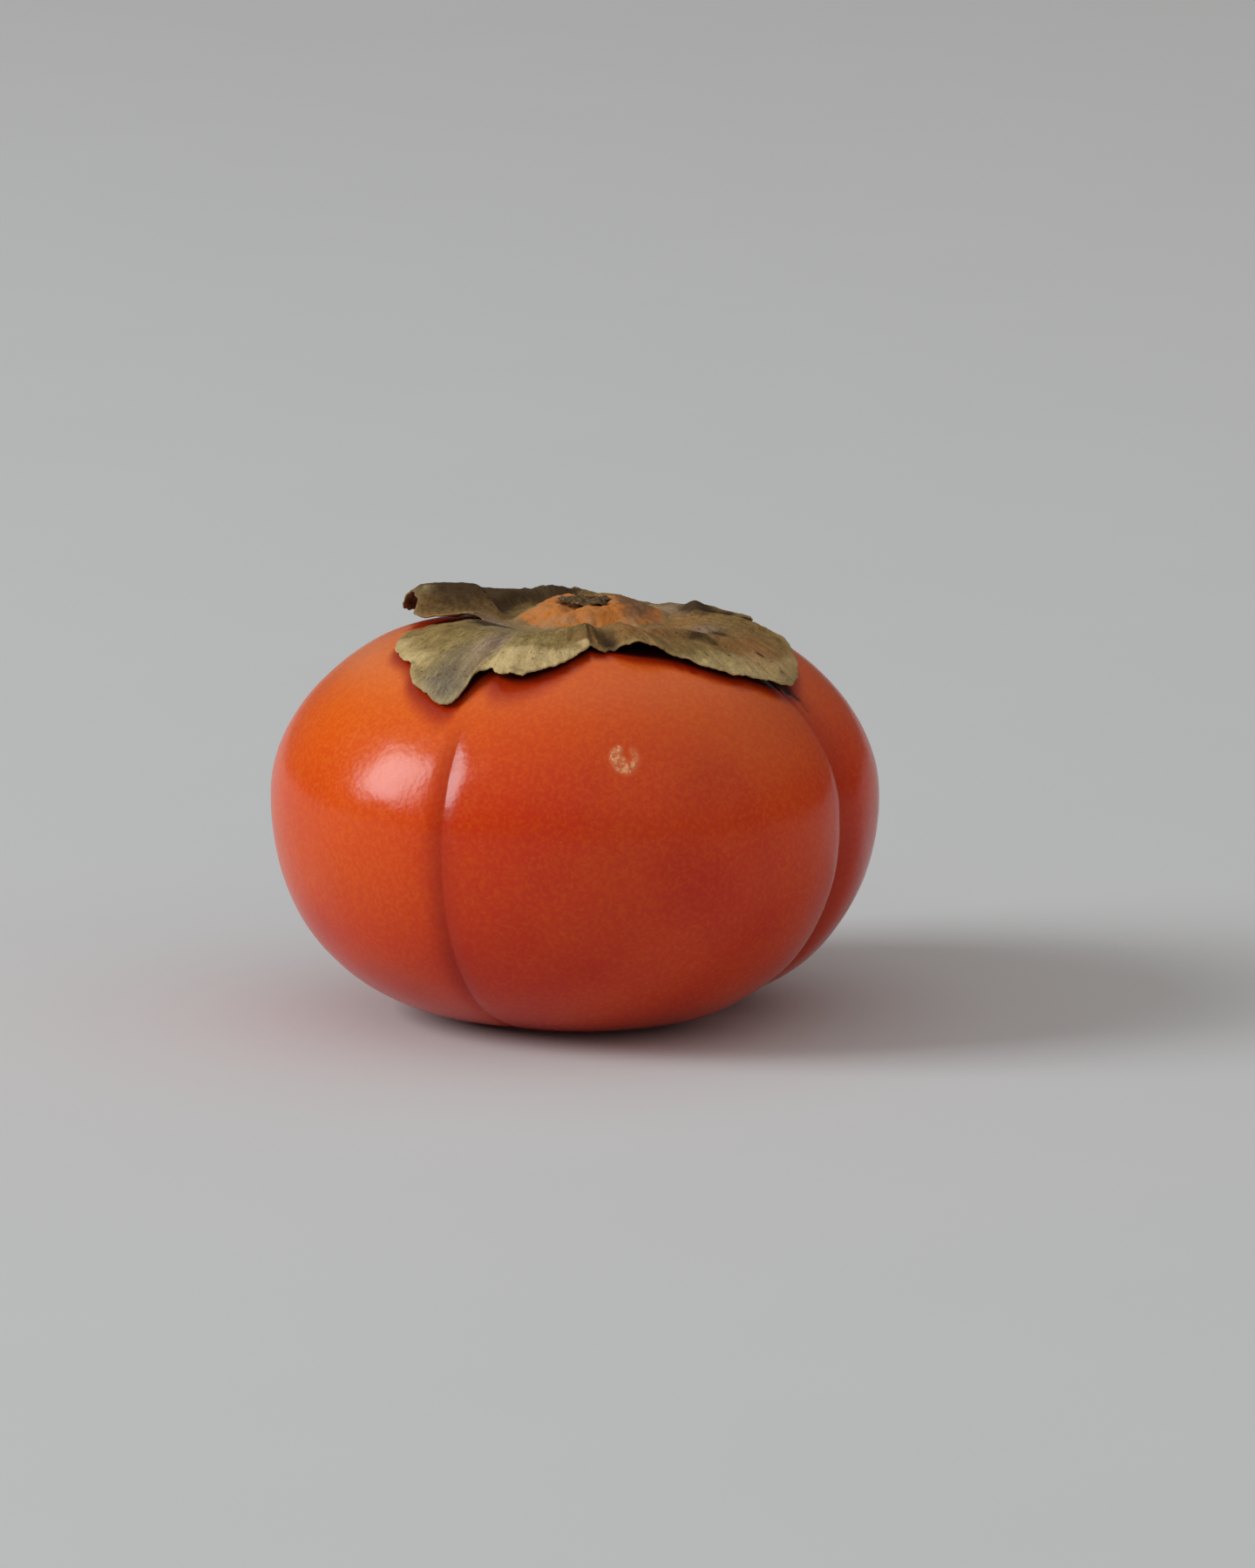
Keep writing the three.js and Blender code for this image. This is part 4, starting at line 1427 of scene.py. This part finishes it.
@dataclass
class Studio:
    """A pale floor, a soft window-like light from the left, a weak fill and the camera."""

    floor_size: float = 9.0
    floor_colour: Colour = (0.66, 0.655, 0.65)
    floor_grain: float = 60.0
    floor_tint: Colour = (0.97, 0.97, 0.97)
    sky_colour: Colour = (1.0, 0.985, 0.97)
    sky_foot: float = 0.11
    sky_top: float = 0.58
    sky_heights: tuple[float, float] = (-0.05, 1.0)
    sky_pole: tuple[float, float] = (25.0, 68.0)
    key_direction: tuple[float, float] = (-80.0, 29.0)
    key_aim: float = 0.03
    key_distance: float = 2.5
    key_size: tuple[float, float] = (1.05, 1.30)
    key_power: float = 45.0
    key_colour: Colour = (0.90, 0.96, 1.0)
    camera_direction: tuple[float, float] = (0.0, 11.0)
    camera_distance: float = 1.3
    camera_lens: float = 227.0
    camera_clip: tuple[float, float] = (0.05, 30.0)
    aim: tuple[float, float, float] = (0.0069, 0.0, 0.030)

    @staticmethod
    def direction(azimuth: float, elevation: float) -> Vector:
        """The direction from the fruit to an azimuth and an elevation."""
        level = outward(np.array(azimuth)) * math.cos(math.radians(elevation))
        return Vector(level) + Vector((0, 0, math.sin(math.radians(elevation))))

    def hang(self, thing: bpy.types.ID, aim: Vector, towards: Vector, distance: float) -> bpy.types.Object:
        """Puts a lamp or a camera in the scene and turns it to what it is aimed at.

        Args:
            thing: the lamp's or the camera's data.
            aim: the point that it looks at, in metres.
            towards: the direction from there to it.
            distance: how far away it is, in metres.

        Returns:
            The object.
        """
        hung = bpy.data.objects.new(thing.name, thing)
        hung.location = aim + towards * distance
        hung.rotation_mode = "QUATERNION"
        hung.rotation_quaternion = towards.to_track_quat("Z", "Y")
        bpy.context.scene.collection.objects.link(hung)
        return hung

    def floor(self) -> None:
        """Lays a pale floor that fills the view."""
        bpy.ops.mesh.primitive_plane_add(size=self.floor_size)
        floor = bpy.context.object
        floor.name = "floor"
        recipe = Recipe.surface("pale_floor")
        grain = recipe.clouds(recipe.place(), self.floor_grain, 2.0)
        colour = recipe.tinted(self.floor_colour, self.floor_tint, grain)
        floor.data.materials.append(recipe.finish(Base_Color=colour, Roughness=0.9))

    def window(self) -> None:
        """Hangs the window light."""
        lamp = bpy.data.lights.new("window", "AREA")
        lamp.shape = "RECTANGLE"
        lamp.size, lamp.size_y = self.key_size
        lamp.energy = self.key_power
        lamp.color = self.key_colour
        towards = self.direction(*self.key_direction)
        self.hang(lamp, Vector((0, 0, self.key_aim)), towards, self.key_distance)

    def sky(self) -> None:
        """Sets the sky, which glows most around its pole."""
        sky = Recipe(bpy.data.worlds.new("sky"), "Background")
        upwards = sky.node("ShaderNodeTexCoord", output="Generated")
        nearness = {0: upwards, 1: self.direction(*self.sky_pole)}
        height = sky.node("ShaderNodeVectorMath", {"operation": "DOT_PRODUCT"}, nearness, "Value")
        glow = sky.between(height, *self.sky_heights) * (self.sky_top - self.sky_foot) + self.sky_foot
        bpy.context.scene.world = sky.finish(Color=self.sky_colour, Strength=glow)

    def camera(self) -> None:
        """Sets the camera at the photograph's viewing angle."""
        lens = bpy.data.cameras.new("camera")
        lens.lens = self.camera_lens
        lens.clip_start, lens.clip_end = self.camera_clip
        back = self.direction(*self.camera_direction)
        bpy.context.scene.camera = self.hang(lens, Vector(self.aim), back, self.camera_distance)

    def build(self) -> None:
        """Sets up the whole studio."""
        bpy.context.scene.view_settings.view_transform = "Standard"
        self.floor()
        self.window()
        self.sky()
        self.camera()


def report(piece: bpy.types.Object) -> None:
    """Logs a piece's size and how many faces it has."""
    size = ", ".join(f"{side / METRES:.1f}" for side in piece.dimensions)
    log.info("%s: %s mm, %d faces", piece.name, size, len(piece.data.polygons))


def main() -> None:
    """Builds the studio and the persimmon."""
    logging.basicConfig(level=logging.INFO, format="%(name)s: %(message)s")
    Studio().build()
    style_embedding = 0.25
    crown = Crown()
    calyx = Calyx(crown)
    fruit = Fruit(crown, calyx.edge_line()[:, :2])
    fruit_surface = fruit.surface()
    shift = fruit_surface.centring()
    report(fruit.dress(fruit_surface, shift))
    for part in (
        calyx,
        Receptacle(crown, calyx),
        StalkStub(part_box("stalk_stub")[1].z / METRES),
        StyleTip(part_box("style_tip")[1].z / METRES + style_embedding),
    ):
        report(part.dress(part.surface(), shift))
    bpy.context.view_layer.update()


if __name__ == "__main__":
    main()
